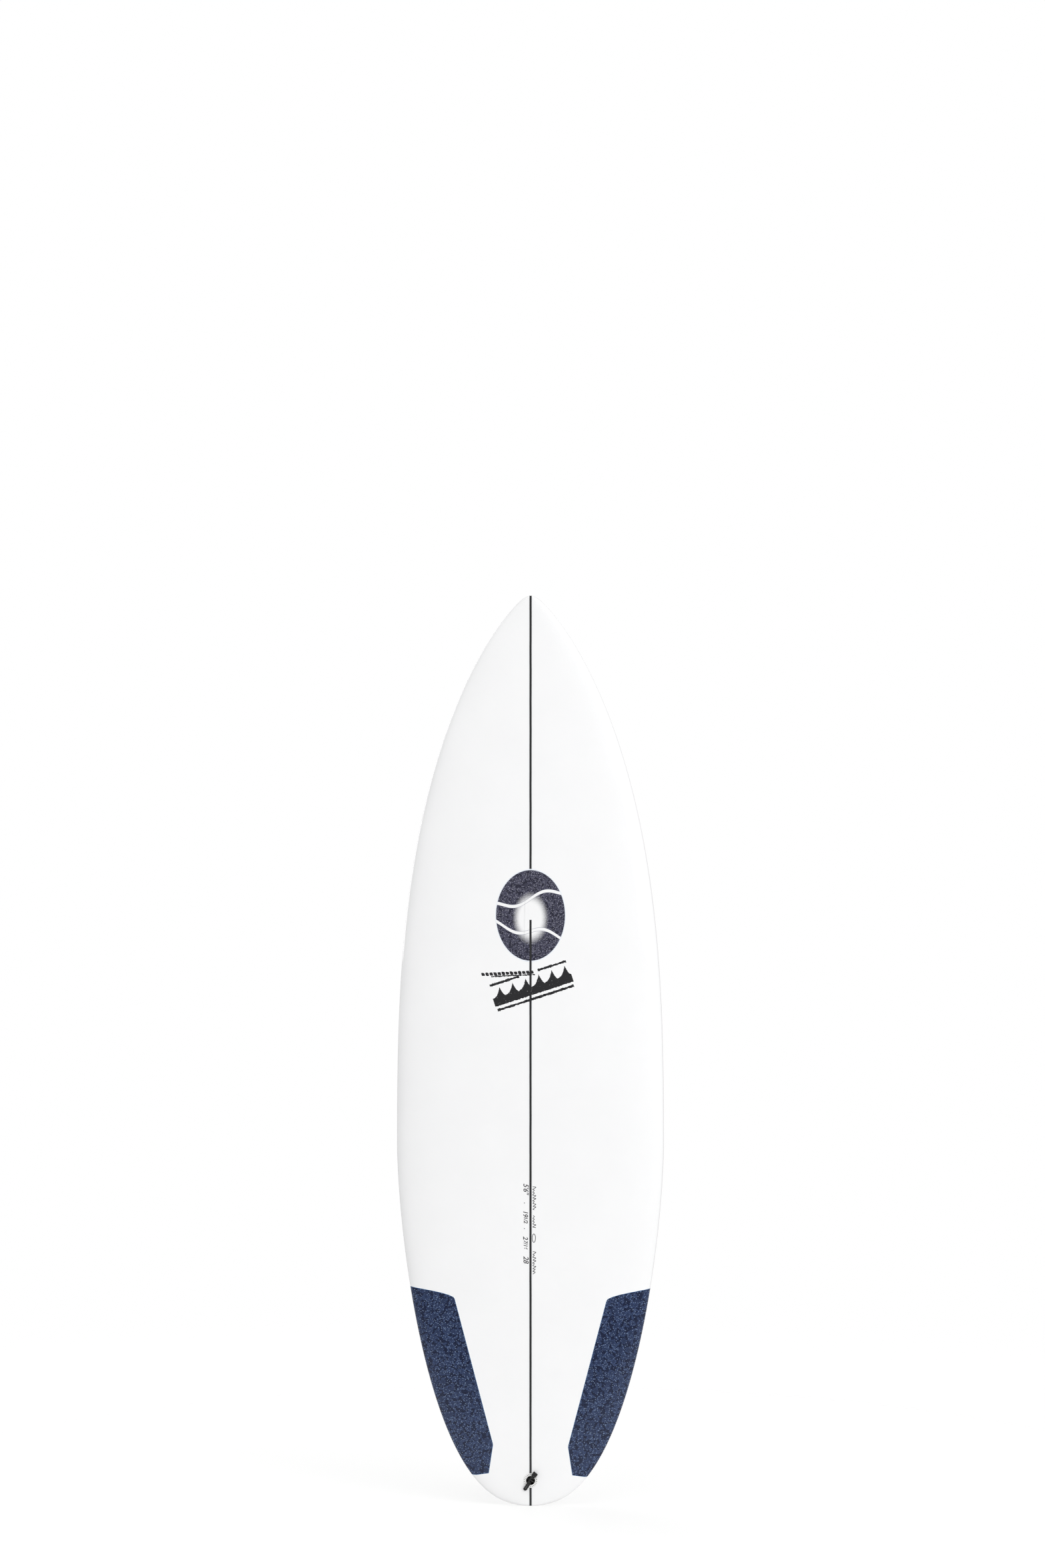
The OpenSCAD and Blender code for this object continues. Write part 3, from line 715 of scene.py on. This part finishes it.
def floral(finish, size, base, line, dot):
    """A print of flowers, leaves, curls and dots at a size, 1 for full size, as a colour."""
    point = finish.place(1000 / size)
    x, _, z = finish.parts(point)
    warp = finish.noise(point, 0.09, 2)
    flat = finish.joined(x + warp * 2.2, z + finish.noise(point, 0.11, 2) * 2.2)

    def motif(pitch, randomness):
        spot = finish.cells(flat, 1 / pitch, "Distance", randomness)
        chance = finish.parts(spot.of("Color"))
        away = finish.node("VectorMath", {"operation": "SUBTRACT"}, {0: flat, 1: spot.of("Position")})
        dx, dz, _ = finish.parts(away)
        return spot * pitch, finish.math("ARCTAN2", dz, dx), chance, dx, dz

    # Flowers: eight filled petals parted by dark veins, round a ring and a dark middle with a dot
    far, angle, chance, _, _ = motif(flower_pitch, 0.75)
    petal_wave = finish.math("COSINE", angle * flower_petals + chance[0] * 6.28)
    petals = 5.0 + petal_wave * 0.9
    veins = finish.step(petal_wave, -0.75, -0.35)
    filled = finish.under(far - petals, 0, 0.25)
    flower = (filled * finish.step(far, 2.0, 2.5) * veins * (0.45 + 0.5 * chance[1])
              + finish.under(abs(far - petals + 0.35), 0.22, 0.2) * 0.5
              + finish.under(abs(far - 1.6), 0.25, 0.2) * 0.8 + finish.under(far, 0.55, 0.25))
    covered = finish.under(far - petals, 0.4, 0.25)
    # Leaves: pointed ovals turned at random, each with a rib
    _, _, chance, dx, dz = motif(leaf_pitch, 0.9)
    turned_by = chance[1] * 6.28
    cosine, sine = finish.math("COSINE", turned_by), finish.math("SINE", turned_by)
    u = dx * cosine + dz * sine
    w = dz * cosine - dx * sine
    oval = finish.math("SQRT", u * u / 11.5 + w * w / 2.9)
    leaf = (finish.under(abs(oval - 1), 0.13, 0.10) + finish.under(oval, 0.5, 0.12) * 0.55
            + finish.under(oval, 1, 0.1) * 0.22)
    # Curls: thin bands of a warped field
    field = finish.noise(point, 0.12, 1)
    curl = finish.under(abs(finish.math("FRACT", field * 8) - 0.5), 0.06, 0.04) * 0.55
    lines = flower + (leaf + curl) * (1 - covered)
    # Dots
    far, _, chance, _, _ = motif(dot_pitch, 1.0)
    dots = finish.under(far, 0.75, 0.2) * finish.step(chance[2], 0.5, 0.56) * (0.55 + 0.45 * chance[0])
    ink = finish.math("MINIMUM", lines * (0.65 + finish.noise(point, 0.2, 2) * 0.6), 1)
    colour = finish.mix(ink, base, line)
    weave = finish.math("SINE", x * 7.5) * finish.math("SINE", z * 7.5) * 0.5 + 0.5
    colour = finish.mix(weave * 0.12, colour, (0.0, 0.0, 0.004, 1))
    return finish.mix(dots, colour, dot)


printed = under_gloss("navy_floral_print", shine=0)
cloth = floral(printed, 1, (0.0050, 0.0100, 0.0360, 1), (0.0480, 0.0780, 0.1750, 1), (0.190, 0.260, 0.400, 1))
from_cut = printed.node("Attribute", {"attribute_name": "from_cut"}, {}, "Fac")
fringe_wobble = printed.noise(printed.place(), 1.1, 3)
# A thin pale blue edge along the cuts and the rail is painted light, a fringe of light at the edge, made
# ragged by noise
light_fringe = printed.under(from_cut + (fringe_wobble - 0.5) * 1.4, 0.55, 0.35)
printed.set(base_color=printed.mix(light_fringe * 0.85, cloth, (0.09, 0.25, 0.50, 1)),
            normal=orange_peel(printed, printed.place()))
for patch in tail_patches.values():
    paint(patch, printed)


# ---- Deck emblem ----
# A badge printed on thin tissue and laid under the gloss coat across the stringer.
# It is a plain oval of the same floral print with a white glow in its middle and two wave-shaped cuts.
emblem_centre, emblem_half_width, emblem_half_height = 1.089, 0.065, 0.0855
emblem_rings, emblem_spokes, emblem_middle = 24, 96, 0.02
glow_half_width, glow_half_height, glow_drop = 27, 40, 5
wave_cuts, wave_bend, wave_height = ((31, 0.22), (-29, -0.2)), 0.062, 8
stringer_shows_from = -8


def on_deck(x, z, proud):
    return Vector((x, deck_y(x, z) - proud, z))


def emblem_point(column, row):
    r = emblem_middle + (1 - emblem_middle) * row / emblem_rings
    a = 2 * pi * column / emblem_spokes
    x = emblem_half_width * r * cos(a)
    return on_deck(x, emblem_centre + emblem_half_height * r * sin(a), print_proud)


emblem = placed_grid("deck_emblem_print", emblem_spokes + 1, emblem_rings + 1, emblem_point)
outwards(emblem)
with edit(emblem, keep_edges=lambda e: e.is_boundary and abs(e.verts[0].co.x) < 0.01):
    bpy.ops.mesh.edge_face_add()
face_front(emblem)
modify(emblem, "SOLIDIFY", thickness=sheet_thickness, offset=-1)
smooth(emblem, 40)

badge = under_gloss("emblem_print")
tissue = floral(badge, 0.72, (0.014, 0.014, 0.032, 1), (0.105, 0.105, 0.160, 1), (0.40, 0.40, 0.48, 1))
point = badge.place()
x, _, z = badge.parts(point)
up = z - emblem_centre * 1000
body_white = resin_white(badge, point)
speckle = badge.noise(point, 1.3, 3)
drop = up + glow_drop
radial = badge.math("SQRT", x * x / glow_half_width ** 2 + drop * drop / glow_half_height ** 2)
glow = badge.under(radial + (speckle - 0.5) * 0.22, 0.98, 0.30)
colour = badge.mix(glow, tissue, body_white)
# Two wave-shaped cuts part the oval into three bands, each cut with a thin dark outline
for level, tilt in wave_cuts:
    wave = up - level - x * tilt - badge.math("SINE", x * wave_bend) * wave_height
    colour = badge.mix(badge.under(abs(wave), 3.3, 0.35) * 0.9, colour, (0.30, 0.31, 0.38, 1))
    colour = badge.mix(badge.under(abs(wave), 2.7, 0.35), colour, body_white)
half_across, half_up = emblem_half_width * 1000, emblem_half_height * 1000
rim = badge.math("SQRT", x * x / half_across ** 2 + up * up / half_up ** 2)
colour = badge.mix(badge.step(rim, 0.972, 0.985), colour, badge.mix(0.5, body_white, (0.70, 0.78, 0.90, 1)))
# The stringer shows through below the middle of the badge
shows = badge.under(up, stringer_shows_from, 1.0)
line = badge.under(off_stringer(badge, x, z), stringer_half, 0.4)
colour = badge.mix(line * shows, colour, (0.02, 0.02, 0.022, 1))
badge.set(base_color=colour, normal=orange_peel(badge, point))
paint(emblem, badge)
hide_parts("deck_emblem")
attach(emblem, "board")


# ---- Ink stamp ----
# A worn black ink stamp on the deck below the badge: a row of plain wave crests between two bars.
# It lies on the board under the gloss coat, tilted up to the right, with a row of dashes above it.
stamp_centre, stamp_tilt, ink_thickness = Vector((0.0024, 0.9590)), radians(18), 0.0003
bar_level, bar_end, bar_left_stop, bar_right_start, bar_half = 23.8, 74, -17, 19, 2.3
crest_pitch, crest_foot, crest_height, crest_tip, trough, crest_end = 25.3, -16.5, 33, 0.72, 0.46, 76
row_start, row_height, row_level_at, row_fall = -82, 48.4, -82.4, 0.27
row_line_start, row_line_end, row_line_drop, row_line_half = -66, 12, 4.8, 1.1
dash_count, dash_pitch, dash_width, dash_half, dash_hump = 13, 7.25, 5.8, 1.9, 1.7


def stamp_spot(u, w):
    """A point of the stamp, from its own along and up sizes in millimetres to the deck."""
    x = stamp_centre.x + (u * cos(stamp_tilt) - w * sin(stamp_tilt)) / 1000
    z = stamp_centre.y + (u * sin(stamp_tilt) + w * cos(stamp_tilt)) / 1000
    return on_deck(x, z, print_proud)


def ragged(u, w, amount):
    return amount * noise.noise(Vector((u * 0.45, w * 0.45, 3.1)))


def ink_band(name, start, stop, steps, middle, half):
    """A band of ink whose middle line and half height vary along it, with worn edges."""
    def place(column, row):
        u = start + (stop - start) * column / steps
        w = middle(u) + half(u) * (row - 2) / 2
        return stamp_spot(u, w + (ragged(u, w, 1.3) if row in (0, 4) else 0))

    return placed_grid(name, steps + 1, 5, place)


def crest_top(u):
    """A row of breaking waves: each back sweeps up to a tip, and a hollow face falls from it."""
    share = u / crest_pitch % 1
    rise = (share / crest_tip) ** 2 if share < crest_tip else ((1 - share) / (1 - crest_tip)) ** 2.4
    return crest_foot + crest_height * (trough + (1 - trough) * rise)


def bar_wear(u):
    """Half height of a bar, which is thin in a few worn places."""
    return bar_half * min(1, 0.7 + 3 * abs(noise.noise(Vector((u * 0.05, 9.3, 1.7)))))


def row_level(u):
    """Middle line of the small row, which climbs less than the stamp."""
    return row_height - row_fall * (u - row_level_at)


def dash_edge(share, tall):
    """Half height of a small dash, humped in its middle. Tall is 1 for every second dash."""
    return dash_half + dash_hump * (0.6 + 0.4 * tall) * max(0, sin(pi * share)) ** 0.5


def joined_up(name, parts):
    """Joins the parts of one print."""
    nothing_selected()
    for part in parts:
        part.select_set(True)
    bpy.context.view_layer.objects.active = parts[0]
    bpy.ops.object.join()
    whole = bpy.context.object
    whole.name = whole.data.name = name
    return whole


inks = [ink_band("stamp_bar_left", -bar_end, bar_left_stop, 90, lambda u: bar_level, bar_wear),
        ink_band("stamp_bar_right", bar_right_start, bar_end, 90, lambda u: bar_level, bar_wear),
        ink_band("stamp_bar_foot", -bar_end, bar_end, 240, lambda u: -bar_level, lambda u: bar_wear(u + 90)),
        ink_band("stamp_crests", -crest_end, crest_end, 420, lambda u: (crest_top(u) + crest_foot) / 2,
                 lambda u: (crest_top(u) - crest_foot) / 2),
        ink_band("stamp_row_foot", row_line_start, row_line_end, 110,
                 lambda u: row_level(u) - row_line_drop, lambda u: row_line_half)]
for k in range(dash_count):
    start = row_start + dash_pitch * k
    inks.append(ink_band(f"stamp_dash_{k}", start, start + dash_width, 12, row_level,
                         lambda u: dash_edge((u - start) / dash_width, k % 2)))
stamp = joined_up("deck_stamp_print", inks)
face_front(stamp)
modify(stamp, "SOLIDIFY", thickness=ink_thickness, offset=-1)
smooth(stamp, 40)

stamp_ink = under_gloss("worn_ink")
point = stamp_ink.place()
worn = stamp_ink.step(stamp_ink.noise(point, 0.30, 5) + stamp_ink.noise(point, 2.4, 2) * 0.45, 0.93, 1.0)
stamp_ink.set(base_color=stamp_ink.mix(worn, (0.016, 0.016, 0.018, 1), (0.62, 0.62, 0.63, 1)))
paint(stamp, stamp_ink)
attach(stamp, "board")


# ---- Pencil marks ----
# The board's dimensions, pencilled on the foam beside the stringer before it was glassed.
# Only numbers are written, and a loose pencil line stands for the rest.
number_column, number_wobble, pencil_width = -0.0125, 0.0012, 0.0012
scribble_column, scribble_pitch = 0.0040, 0.0026
loop_x, loop_z, loop_half_width, loop_half_height = 0.0062, 0.4930, 0.0029, 0.0078
pencil_parts = []
for words, top, size in (("5'6\"", 0.5940, 0.0135), ("19", 0.5445, 0.0125), ("1/2", 0.5330, 0.0100),
                         ("2", 0.4965, 0.0125), ("7/16", 0.4895, 0.0100), ("28", 0.4600, 0.0135)):
    nothing_selected()
    bpy.ops.object.text_add()
    number = bpy.context.object
    number.data.body = words
    number.data.size = size
    number.data.shear = 0.25
    number.data.space_character = 0.95
    number.data.extrude = 0.00001
    number.data.offset = 0.0002
    bpy.ops.object.convert(target="MESH")
    number = bpy.context.object
    across = number_column + random.uniform(-number_wobble, number_wobble)
    for v in number.data.vertices:
        v.co = on_deck(across + v.co.y, top - v.co.x, print_proud + v.co.z)
    pencil_parts.append(number)


def pencil_line(name, points, width):
    """A flat pencil line along points given across and up the deck in metres."""
    path = smooth_path([Vector((x, z, 0)) for x, z in points], 0.0006)

    def place(column, row):
        p = path[row]
        head = (path[min(row + 1, len(path) - 1)] - path[max(row - 1, 0)]).normalized()
        aside = Vector((-head.y, head.x, 0)) * width * (column - 0.5)
        return on_deck(p.x + aside.x, p.y + aside.y, print_proud)

    return placed_grid(name, 2, len(path), place)


for top, foot, lean in ((0.588, 0.541, 0.0012), (0.5345, 0.509, 0.0010), (0.468, 0.424, 0.0012)):
    scribble = []
    for k in range(round((top - foot) / scribble_pitch)):
        tall = random.choice((0.0030, 0.0046, 0.0058)) if k % 2 else random.uniform(0, 0.0010)
        scribble.append((scribble_column + tall, top - scribble_pitch * k + (lean if k % 2 else 0)))
    pencil_parts.append(pencil_line("scribble", scribble, pencil_width))
turns = [2 * pi * k / 16 for k in range(18)]
loop = [(loop_x + loop_half_width * sin(a), loop_z + loop_half_height * cos(a)) for a in turns]
pencil_parts.append(pencil_line("loop", loop, pencil_width))
for z in (0.5584, 0.5112):
    spot = [(-0.0119, z), (-0.0114, z - 0.0004), (-0.0107, z - 0.0010)]
    pencil_parts.append(pencil_line("dot", spot, 0.0015))
pencil = joined_up("pencil_marks", pencil_parts)
graphite = under_gloss("graphite")
grit = graphite.noise(graphite.place(), 2.0, 4)
graphite.set(base_color=graphite.mix(grit, (0.015, 0.015, 0.017, 1), (0.13, 0.13, 0.14, 1)))
paint(pencil, graphite)
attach(pencil, "board")


# ---- Leash plug ----
# A moulded white cup with a thin round flange, set in resin near the tail, with a steel cross pin.
# The cup's inside is painted black, as painted shade for the shadow deep in the cup. Its flange and its mouth
# are rounded, and the rim has small dark ticks.
flange_radius, plug_radius, cup_radius = 0.0134, 0.011, 0.008
plug_depth, cup_depth, flange_rise, lip = 0.0145, 0.012, 0.0008, 0.0008
flange_foot, flange_foot_angle, cup_corner = 0.0001, 7.2, 0.001
tick_count, tick_ring, tick_half_length, tick_half_width = 22, 10.9, 1.05, 0.15


def turned(name, profile, steps=96):
    """Spins a profile of (radius, height) points round Z into a closed solid."""
    mesh = bpy.data.meshes.new(name)
    mesh.from_pydata([(r, 0, h) for r, h in profile], [(i, i + 1) for i in range(len(profile) - 1)], [])
    piece = bpy.data.objects.new(name, mesh)
    scene.collection.objects.link(piece)
    with edit(piece):
        bpy.ops.mesh.spin(steps=steps, angle=2 * pi, center=(0, 0, 0), axis=(0, 0, 1))
    outwards(piece)
    return piece


def arc(centre_r, centre_h, radius, start, end):
    """Seven points on an arc, from a start to an end given in degrees."""
    turns = [radians(start + (end - start) * k / 6) for k in range(7)]
    return [(centre_r + radius * cos(a), centre_h + radius * sin(a)) for a in turns]


cup_profile = [(0, -plug_depth), (plug_radius, -plug_depth), (plug_radius, flange_foot),
               *arc(flange_radius - flange_rise, 0, flange_rise, flange_foot_angle, 90),
               *arc(cup_radius + lip, flange_rise - lip, lip, 90, 180),
               *arc(cup_radius - cup_corner, -cup_depth + cup_corner, cup_corner, 0, -90), (0, -cup_depth)]
plug_cup = turned("plug_cup", cup_profile)
plug_cup.data.transform(plug_frame)
smooth(plug_cup, 35)

moulded = Finish("white_moulding", roughness=0.32, ior=1.49)
point = moulded.place()
plastic = moulded.mix(moulded.noise(point, 0.25, 3), (0.84, 0.84, 0.83, 1), (0.90, 0.90, 0.89, 1))
x, y, z = moulded.parts(point)
plug_up = plug_frame.to_3x3() @ Vector((0, 1, 0))
plug_at = plug_frame.translation * 1000
along_deck = (y - plug_at.y) * plug_up.y + (z - plug_at.z) * plug_up.z
out = moulded.math("SQRT", x * x + along_deck * along_deck)
# Painted shade: the inside of the cup is coloured near black
cup_painted_shade = moulded.under(out, cup_radius * 1000 + 0.25, 0.05)
around = moulded.math("ARCTAN2", along_deck, x) * (tick_count / (2 * pi))
tick = abs(moulded.math("FRACT", around + 2 * tick_count) - 0.5)
ticks = (moulded.under(tick, tick_half_width, 0.03)
         * moulded.under(abs(out - tick_ring), tick_half_length, 0.1))
plastic = moulded.mix(ticks * 0.9, plastic, (0.02, 0.02, 0.022, 1))
moulded.set(base_color=moulded.mix(cup_painted_shade, plastic, (0.010, 0.010, 0.011, 1)),
            normal=moulded.bump(moulded.noise(point, 3.0, 2), 0.00005, 0.35))
paint(plug_cup, moulded)
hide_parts("leash_plug_cup")
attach(plug_cup, "board")


def steel(name, dull, bright, rough):
    """Drawn steel with fine lines along it, from dull to bright grey."""
    metal = Finish(name, metallic=1.0)
    x, y, z = metal.parts(metal.place())
    drawn = metal.noise(metal.joined(x * 0.3, y * 6, z * 6), 1, 3)
    metal.set(base_color=metal.mix(drawn, (dull, dull, dull, 1), (bright, bright, bright, 1)),
              roughness=rough + drawn * 0.16)
    return metal


# The cross pin's steel is painted dark grey, as painted shade inside the cup
paint(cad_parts["leash_plug_pin"], steel("steel_in_painted_shade", 0.06, 0.11, 0.30))

set_resin = Finish("set_resin", roughness=0.12, coat_weight=0.5, ior=1.54)
point = set_resin.place()
cured = set_resin.noise(point, 0.3, 3)
set_resin.set(base_color=set_resin.mix(cured, (0.66, 0.69, 0.62, 1), (0.78, 0.80, 0.74, 1)),
              normal=set_resin.bump(set_resin.noise(point, 0.6, 2), 0.0002, 0.3))
for node in ("leash_plug_resin", "fin_box_resin_left", "fin_box_resin_centre", "fin_box_resin_right"):
    paint(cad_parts[node], set_resin)


# ---- Fin boxes ----
# Moulded white boxes, each with a flange that sits in a routed pocket of the bottom.
# A box has one slot for the fin's tab and a slanting hole for the grub screw that clamps it.
flange_depth, box_depth, box_top, slot_depth = 0.0025, 0.0168, 0.0003, 0.0153
slot_length, slot_width = 0.0982, 0.0066
screw_diameter, screw_length, screw_lean = 0.004, 0.009, 15
screw_sink, screw_gap, screw_along, drill_gap = 0.0006, 0.00015, 0.026, 0.00006
box_rounding, slot_rounding, edge_reach = 0.0005, 0.0003, 0.0001
box_body = round_ended("fin_box_pattern", box_length, box_width, -flange_depth, box_top)
with edit(box_body, keep_faces=lambda f: f.normal.y < -0.9):
    bpy.ops.mesh.inset(thickness=bed, depth=0)
    bpy.ops.mesh.extrude_region_move(TRANSFORM_OT_translate={"value": (0, flange_depth - box_depth, 0)})
with edit(box_body, keep_edges=both_ends(lambda p: p.y > box_top - 0.00001)):
    bpy.ops.mesh.bevel(offset=box_rounding, segments=3)
slot = round_ended("slot", slot_length, slot_width, -slot_depth, 0.002)
cut(box_body, slot)
with edit(box_body, keep_edges=both_ends(lambda p: p.y > box_top - 0.00001
                                         and abs(p.x) < slot_width / 2 + edge_reach
                                         and abs(p.z) < slot_length / 2 + edge_reach)):
    bpy.ops.mesh.bevel(offset=slot_rounding, segments=2)


def screw_frame(side):
    """The screw's place in the box frame, with +Y out of the box."""
    tip = slot_width / 2 + screw_gap + cos(radians(screw_lean)) * screw_diameter / 2
    head = tip + screw_length * sin(radians(screw_lean))
    inwards = -1 if side > 0 else 1
    return Matrix.Translation((inwards * head, -screw_sink, screw_along)) @ turn("Z", -inwards * screw_lean)


box_plastic = Finish("box_moulding", roughness=0.38, ior=1.49)
point = box_plastic.place()
fine = box_plastic.noise(point, 2.5, 3)
box_plastic.set(base_color=box_plastic.mix(box_plastic.noise(point, 0.08, 3),
                                           (0.74, 0.745, 0.74, 1), (0.84, 0.84, 0.83, 1)),
                normal=box_plastic.bump(fine, 0.00006, 0.4))
for word, side in fin_sides.items():
    box = box_body.copy()
    box.data = box_body.data.copy()
    box.name = box.data.name = f"fin_box_{word}_moulding"
    scene.collection.objects.link(box)
    nothing_selected()
    bpy.ops.mesh.primitive_cylinder_add(vertices=48, radius=screw_diameter / 2 + drill_gap, depth=0.02,
                                        rotation=(pi / 2, 0, 0))
    drill = bpy.context.object
    bpy.ops.object.transform_apply()
    drill.data.transform(screw_frame(side))
    cut(box, drill)
    box.data.transform(fin_frame(side))
    smooth(box, 35)
    paint(box, box_plastic)
    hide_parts(f"fin_box_{word}")
    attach(box, "board")
bpy.data.objects.remove(box_body)


# ---- Grub screws ----
# Headless stainless screws with a hex socket. Each leans into its box and clamps the fin's tab.
socket_depth, socket_width, thread_pitch = 0.0024, 0.002, 0.0007
thread_root, thread_top = screw_diameter * 0.46, screw_diameter * 0.5
tip_radius, head_radius = screw_diameter * 0.30, screw_diameter * 0.42
tip_chamfer, head_chamfer, thread_start, thread_margin = 0.0005, 0.0003, 0.0006, 0.0014
screw_profile = [(0, -screw_length), (tip_radius, -screw_length), (thread_root, -screw_length + tip_chamfer)]
for k in range(int((screw_length - thread_margin) / thread_pitch)):
    foot = -screw_length + thread_start + k * thread_pitch
    screw_profile += [(thread_root, foot), (thread_top, foot + thread_pitch * 0.35),
                      (thread_top, foot + thread_pitch * 0.55), (thread_root, foot + thread_pitch * 0.9)]
screw_profile += [(thread_root, -head_chamfer), (head_radius, 0), (0, 0)]
screw_steel = steel("screw_steel", 0.52, 0.66, 0.22)
for word, side in fin_sides.items():
    screw = turned(f"fin_screw_{word}_steel", screw_profile, 40)
    nothing_selected()
    bpy.ops.mesh.primitive_cylinder_add(vertices=6, radius=socket_width / 2 / cos(pi / 6),
                                        depth=socket_depth * 2)
    cut(screw, bpy.context.object)
    screw.data.transform(fin_frame(side) @ screw_frame(side) @ turn("X", -90))
    smooth(screw, 35)
    paint(screw, screw_steel)
    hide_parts(f"fin_screw_{word}")
    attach(screw, f"fin_screw_{word}")


# ---- Fins ----
# Three foiled fins of moulded glass and resin, each with one tab that slides into its box.
# The side fins are nearly flat on their inner faces and lean out towards the rails.
fin_height, fin_thickness, fin_rake, fin_cant, fin_gap = 0.115, 0.0085, 0.016, 5, 0.001
tab_length, tab_thickness, tab_depth = 0.098, 0.0064, 0.015
tip_share, fin_edge, flat_face, tab_rounding, tab_overlap = 0.985, 0.0005, 0.2, 0.0006, 0.0001
leading_curve, leading_fullness, trailing_hollow = 1.12, 0.455, 0.026
foil_forward, foil_fullness, tip_thinning = 0.62, 0.8, 0.8
fin_levels, foil_points = 44, 26


def leading_edge(t):
    return fin_base / 2 - (fin_base + fin_rake) * (1 - (1 - t ** leading_curve) ** leading_fullness)


def trailing_edge(t):
    return -fin_base / 2 + trailing_hollow * t * (1 - t) - fin_rake * t ** 3


def foil(c, t):
    full = sin(pi * c ** foil_forward) if c < 1 else 0
    return fin_edge + (fin_thickness / 2 - fin_edge) * (1 - tip_thinning * t) * max(0, full) ** foil_fullness


def fin_point(side, column, row):
    """Columns go round the foil from nose to tail and back, and rows go up the fin."""
    t = tip_share * sin(pi / 2 * row / fin_levels)
    y = fin_gap + (fin_height - fin_gap) * t / tip_share
    out = column <= foil_points
    c = (1 - cos(pi * (column if out else 2 * foil_points - column) / foil_points)) / 2
    full = side == 0 or out == (side > 0)
    half = foil(c, t) if full else fin_edge + flat_face * (foil(c, t) - fin_edge)
    edge = sin(pi * c) ** 0.5 if 0 < c < 1 else 0
    x = (1 if out else -1) * half * min(1, edge * 2.5)
    x += side * tan(radians(fin_cant)) * (y - fin_gap)
    return Vector((x, y, leading_edge(t) + c * (trailing_edge(t) - leading_edge(t))))


composite = Finish("fin_composite", roughness=0.2, coat_weight=0.8, coat_roughness=0.06, ior=1.53)
point = composite.place()
_, y, z = composite.parts(point)
threads = composite.math("SINE", y * 5.2) * composite.math("SINE", z * 5.2)
cloud = composite.noise(point, 0.03, 4)
navy = composite.mix(cloud, (0.014, 0.021, 0.052, 1), (0.030, 0.042, 0.088, 1))
navy = composite.mix(composite.step(threads, 0.1, 0.9) * 0.35, navy, (0.060, 0.078, 0.135, 1))
composite.set(base_color=navy, normal=composite.bump(threads, 0.00004, 0.4))
for word, side in fin_sides.items():
    fin = placed_grid(f"fin_{word}_moulding", 2 * foil_points + 1, fin_levels + 1,
                      lambda column, row: fin_point(side, column, row))
    outwards(fin)
    for level in (fin_gap, fin_height):
        at_level = both_ends(lambda p: abs(p.y - level) < 0.00002)
        with edit(fin, keep_edges=lambda e: e.is_boundary and at_level(e)):
            bpy.ops.mesh.edge_face_add()
    outwards(fin)
    tab = round_ended("tab", tab_length, tab_thickness, -tab_depth, fin_gap + tab_overlap)
    with edit(tab, keep_edges=both_ends(lambda p: p.y < -tab_depth + 0.00001)):
        bpy.ops.mesh.bevel(offset=tab_rounding, segments=2)
    merge(fin, tab, "UNION")
    fin.data.transform(fin_frame(side))
    smooth(fin, 40)
    paint(fin, composite)
    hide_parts(f"fin_{word}")
    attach(fin, f"fin_{word}")


# ---- Studio ----
# A plain pale floor that fades out round the board, and a bright even studio.
# The main light is a large soft source from the right, so the left rail is a little darker.
floor_radius, floor_level, floor_reach, floor_fade, floor_cover = 2.6, -0.0002, 0.55, 0.4, 0.45
nothing_selected()
bpy.ops.mesh.primitive_circle_add(vertices=96, radius=floor_radius, fill_type="NGON",
                                  location=(0, 0, floor_level))
floor = bpy.context.object
floor.name = "studio_floor"
bpy.ops.object.transform_apply()
pale = Finish("pale_floor", roughness=0.6)
x, y, _ = pale.parts(pale.place(1))
from_middle = pale.math("SQRT", x * x + y * y)
cover = pale.under(from_middle, floor_radius * floor_reach, floor_radius * floor_fade) * floor_cover
pale.set(base_color=(0.88, 0.88, 0.875, 1), emission_color=(1.0, 1.0, 0.995, 1), emission_strength=0.15,
         alpha=cover)
paint(floor, pale)


class Surround(Finish):
    """The light from all round, made with the same node() as a finish."""

    def __init__(self, name):
        scene.world = bpy.data.worlds.new(name)
        scene.world.use_nodes = True
        self.tree = scene.world.node_tree
        self.tree.nodes.clear()

    def background(self, colour, strength):
        return self.node("Background", {}, {"Color": (*colour, 1), "Strength": strength})


# The board is lit from above more than from below. Glossy coats mirror a dimmer room.
surround = Surround("studio")
_, _, height = surround.parts(surround.node("TexCoord", {}, {}, "Generated"))
brightness = surround.node("MapRange", {}, {"Value": height, "From Min": -0.5, "From Max": 0.5,
                                            "To Min": 0.72, "To Max": 0.87})
lit = surround.background((0.995, 0.997, 1.0), brightness)
mirrored = surround.background((1.0, 1.0, 1.0), 0.30)
seen = surround.background((1.0, 1.0, 1.0), 1.0)
ray = surround.node("LightPath", {}, {})
glossy = surround.node("MixShader", {}, {0: ray.of("Is Glossy Ray"), 1: lit, 2: mirrored})
chosen = surround.node("MixShader", {}, {0: ray.of("Is Camera Ray"), 1: glossy, 2: seen})
result = surround.tree.nodes.new("ShaderNodeOutputWorld")
surround.plug(result, 0, chosen)


def soft_light(name, location, aim, size, power):
    nothing_selected()
    bpy.ops.object.light_add(type="AREA", location=location)
    light = bpy.context.object
    light.name = name
    light.data.shape = "RECTANGLE"
    light.data.size, light.data.size_y = size
    light.data.energy = power
    light.rotation_euler = (Vector(aim) - Vector(location)).to_track_quat("-Z", "Y").to_euler()


soft_light("right_softbox", (3.4, -3.2, 2.2), aim=(0, 0, 0.9), size=(2.4, 3.0), power=78)
soft_light("top_softbox", (-0.6, -1.6, 3.6), aim=(0, 0, 0.8), size=(2.4, 1.6), power=12)
soft_light("back_softbox", (-3.2, 3.6, 2.4), aim=(0, 0, 0.9), size=(2.4, 3.0), power=55)
scene.view_settings.view_transform = "Standard"
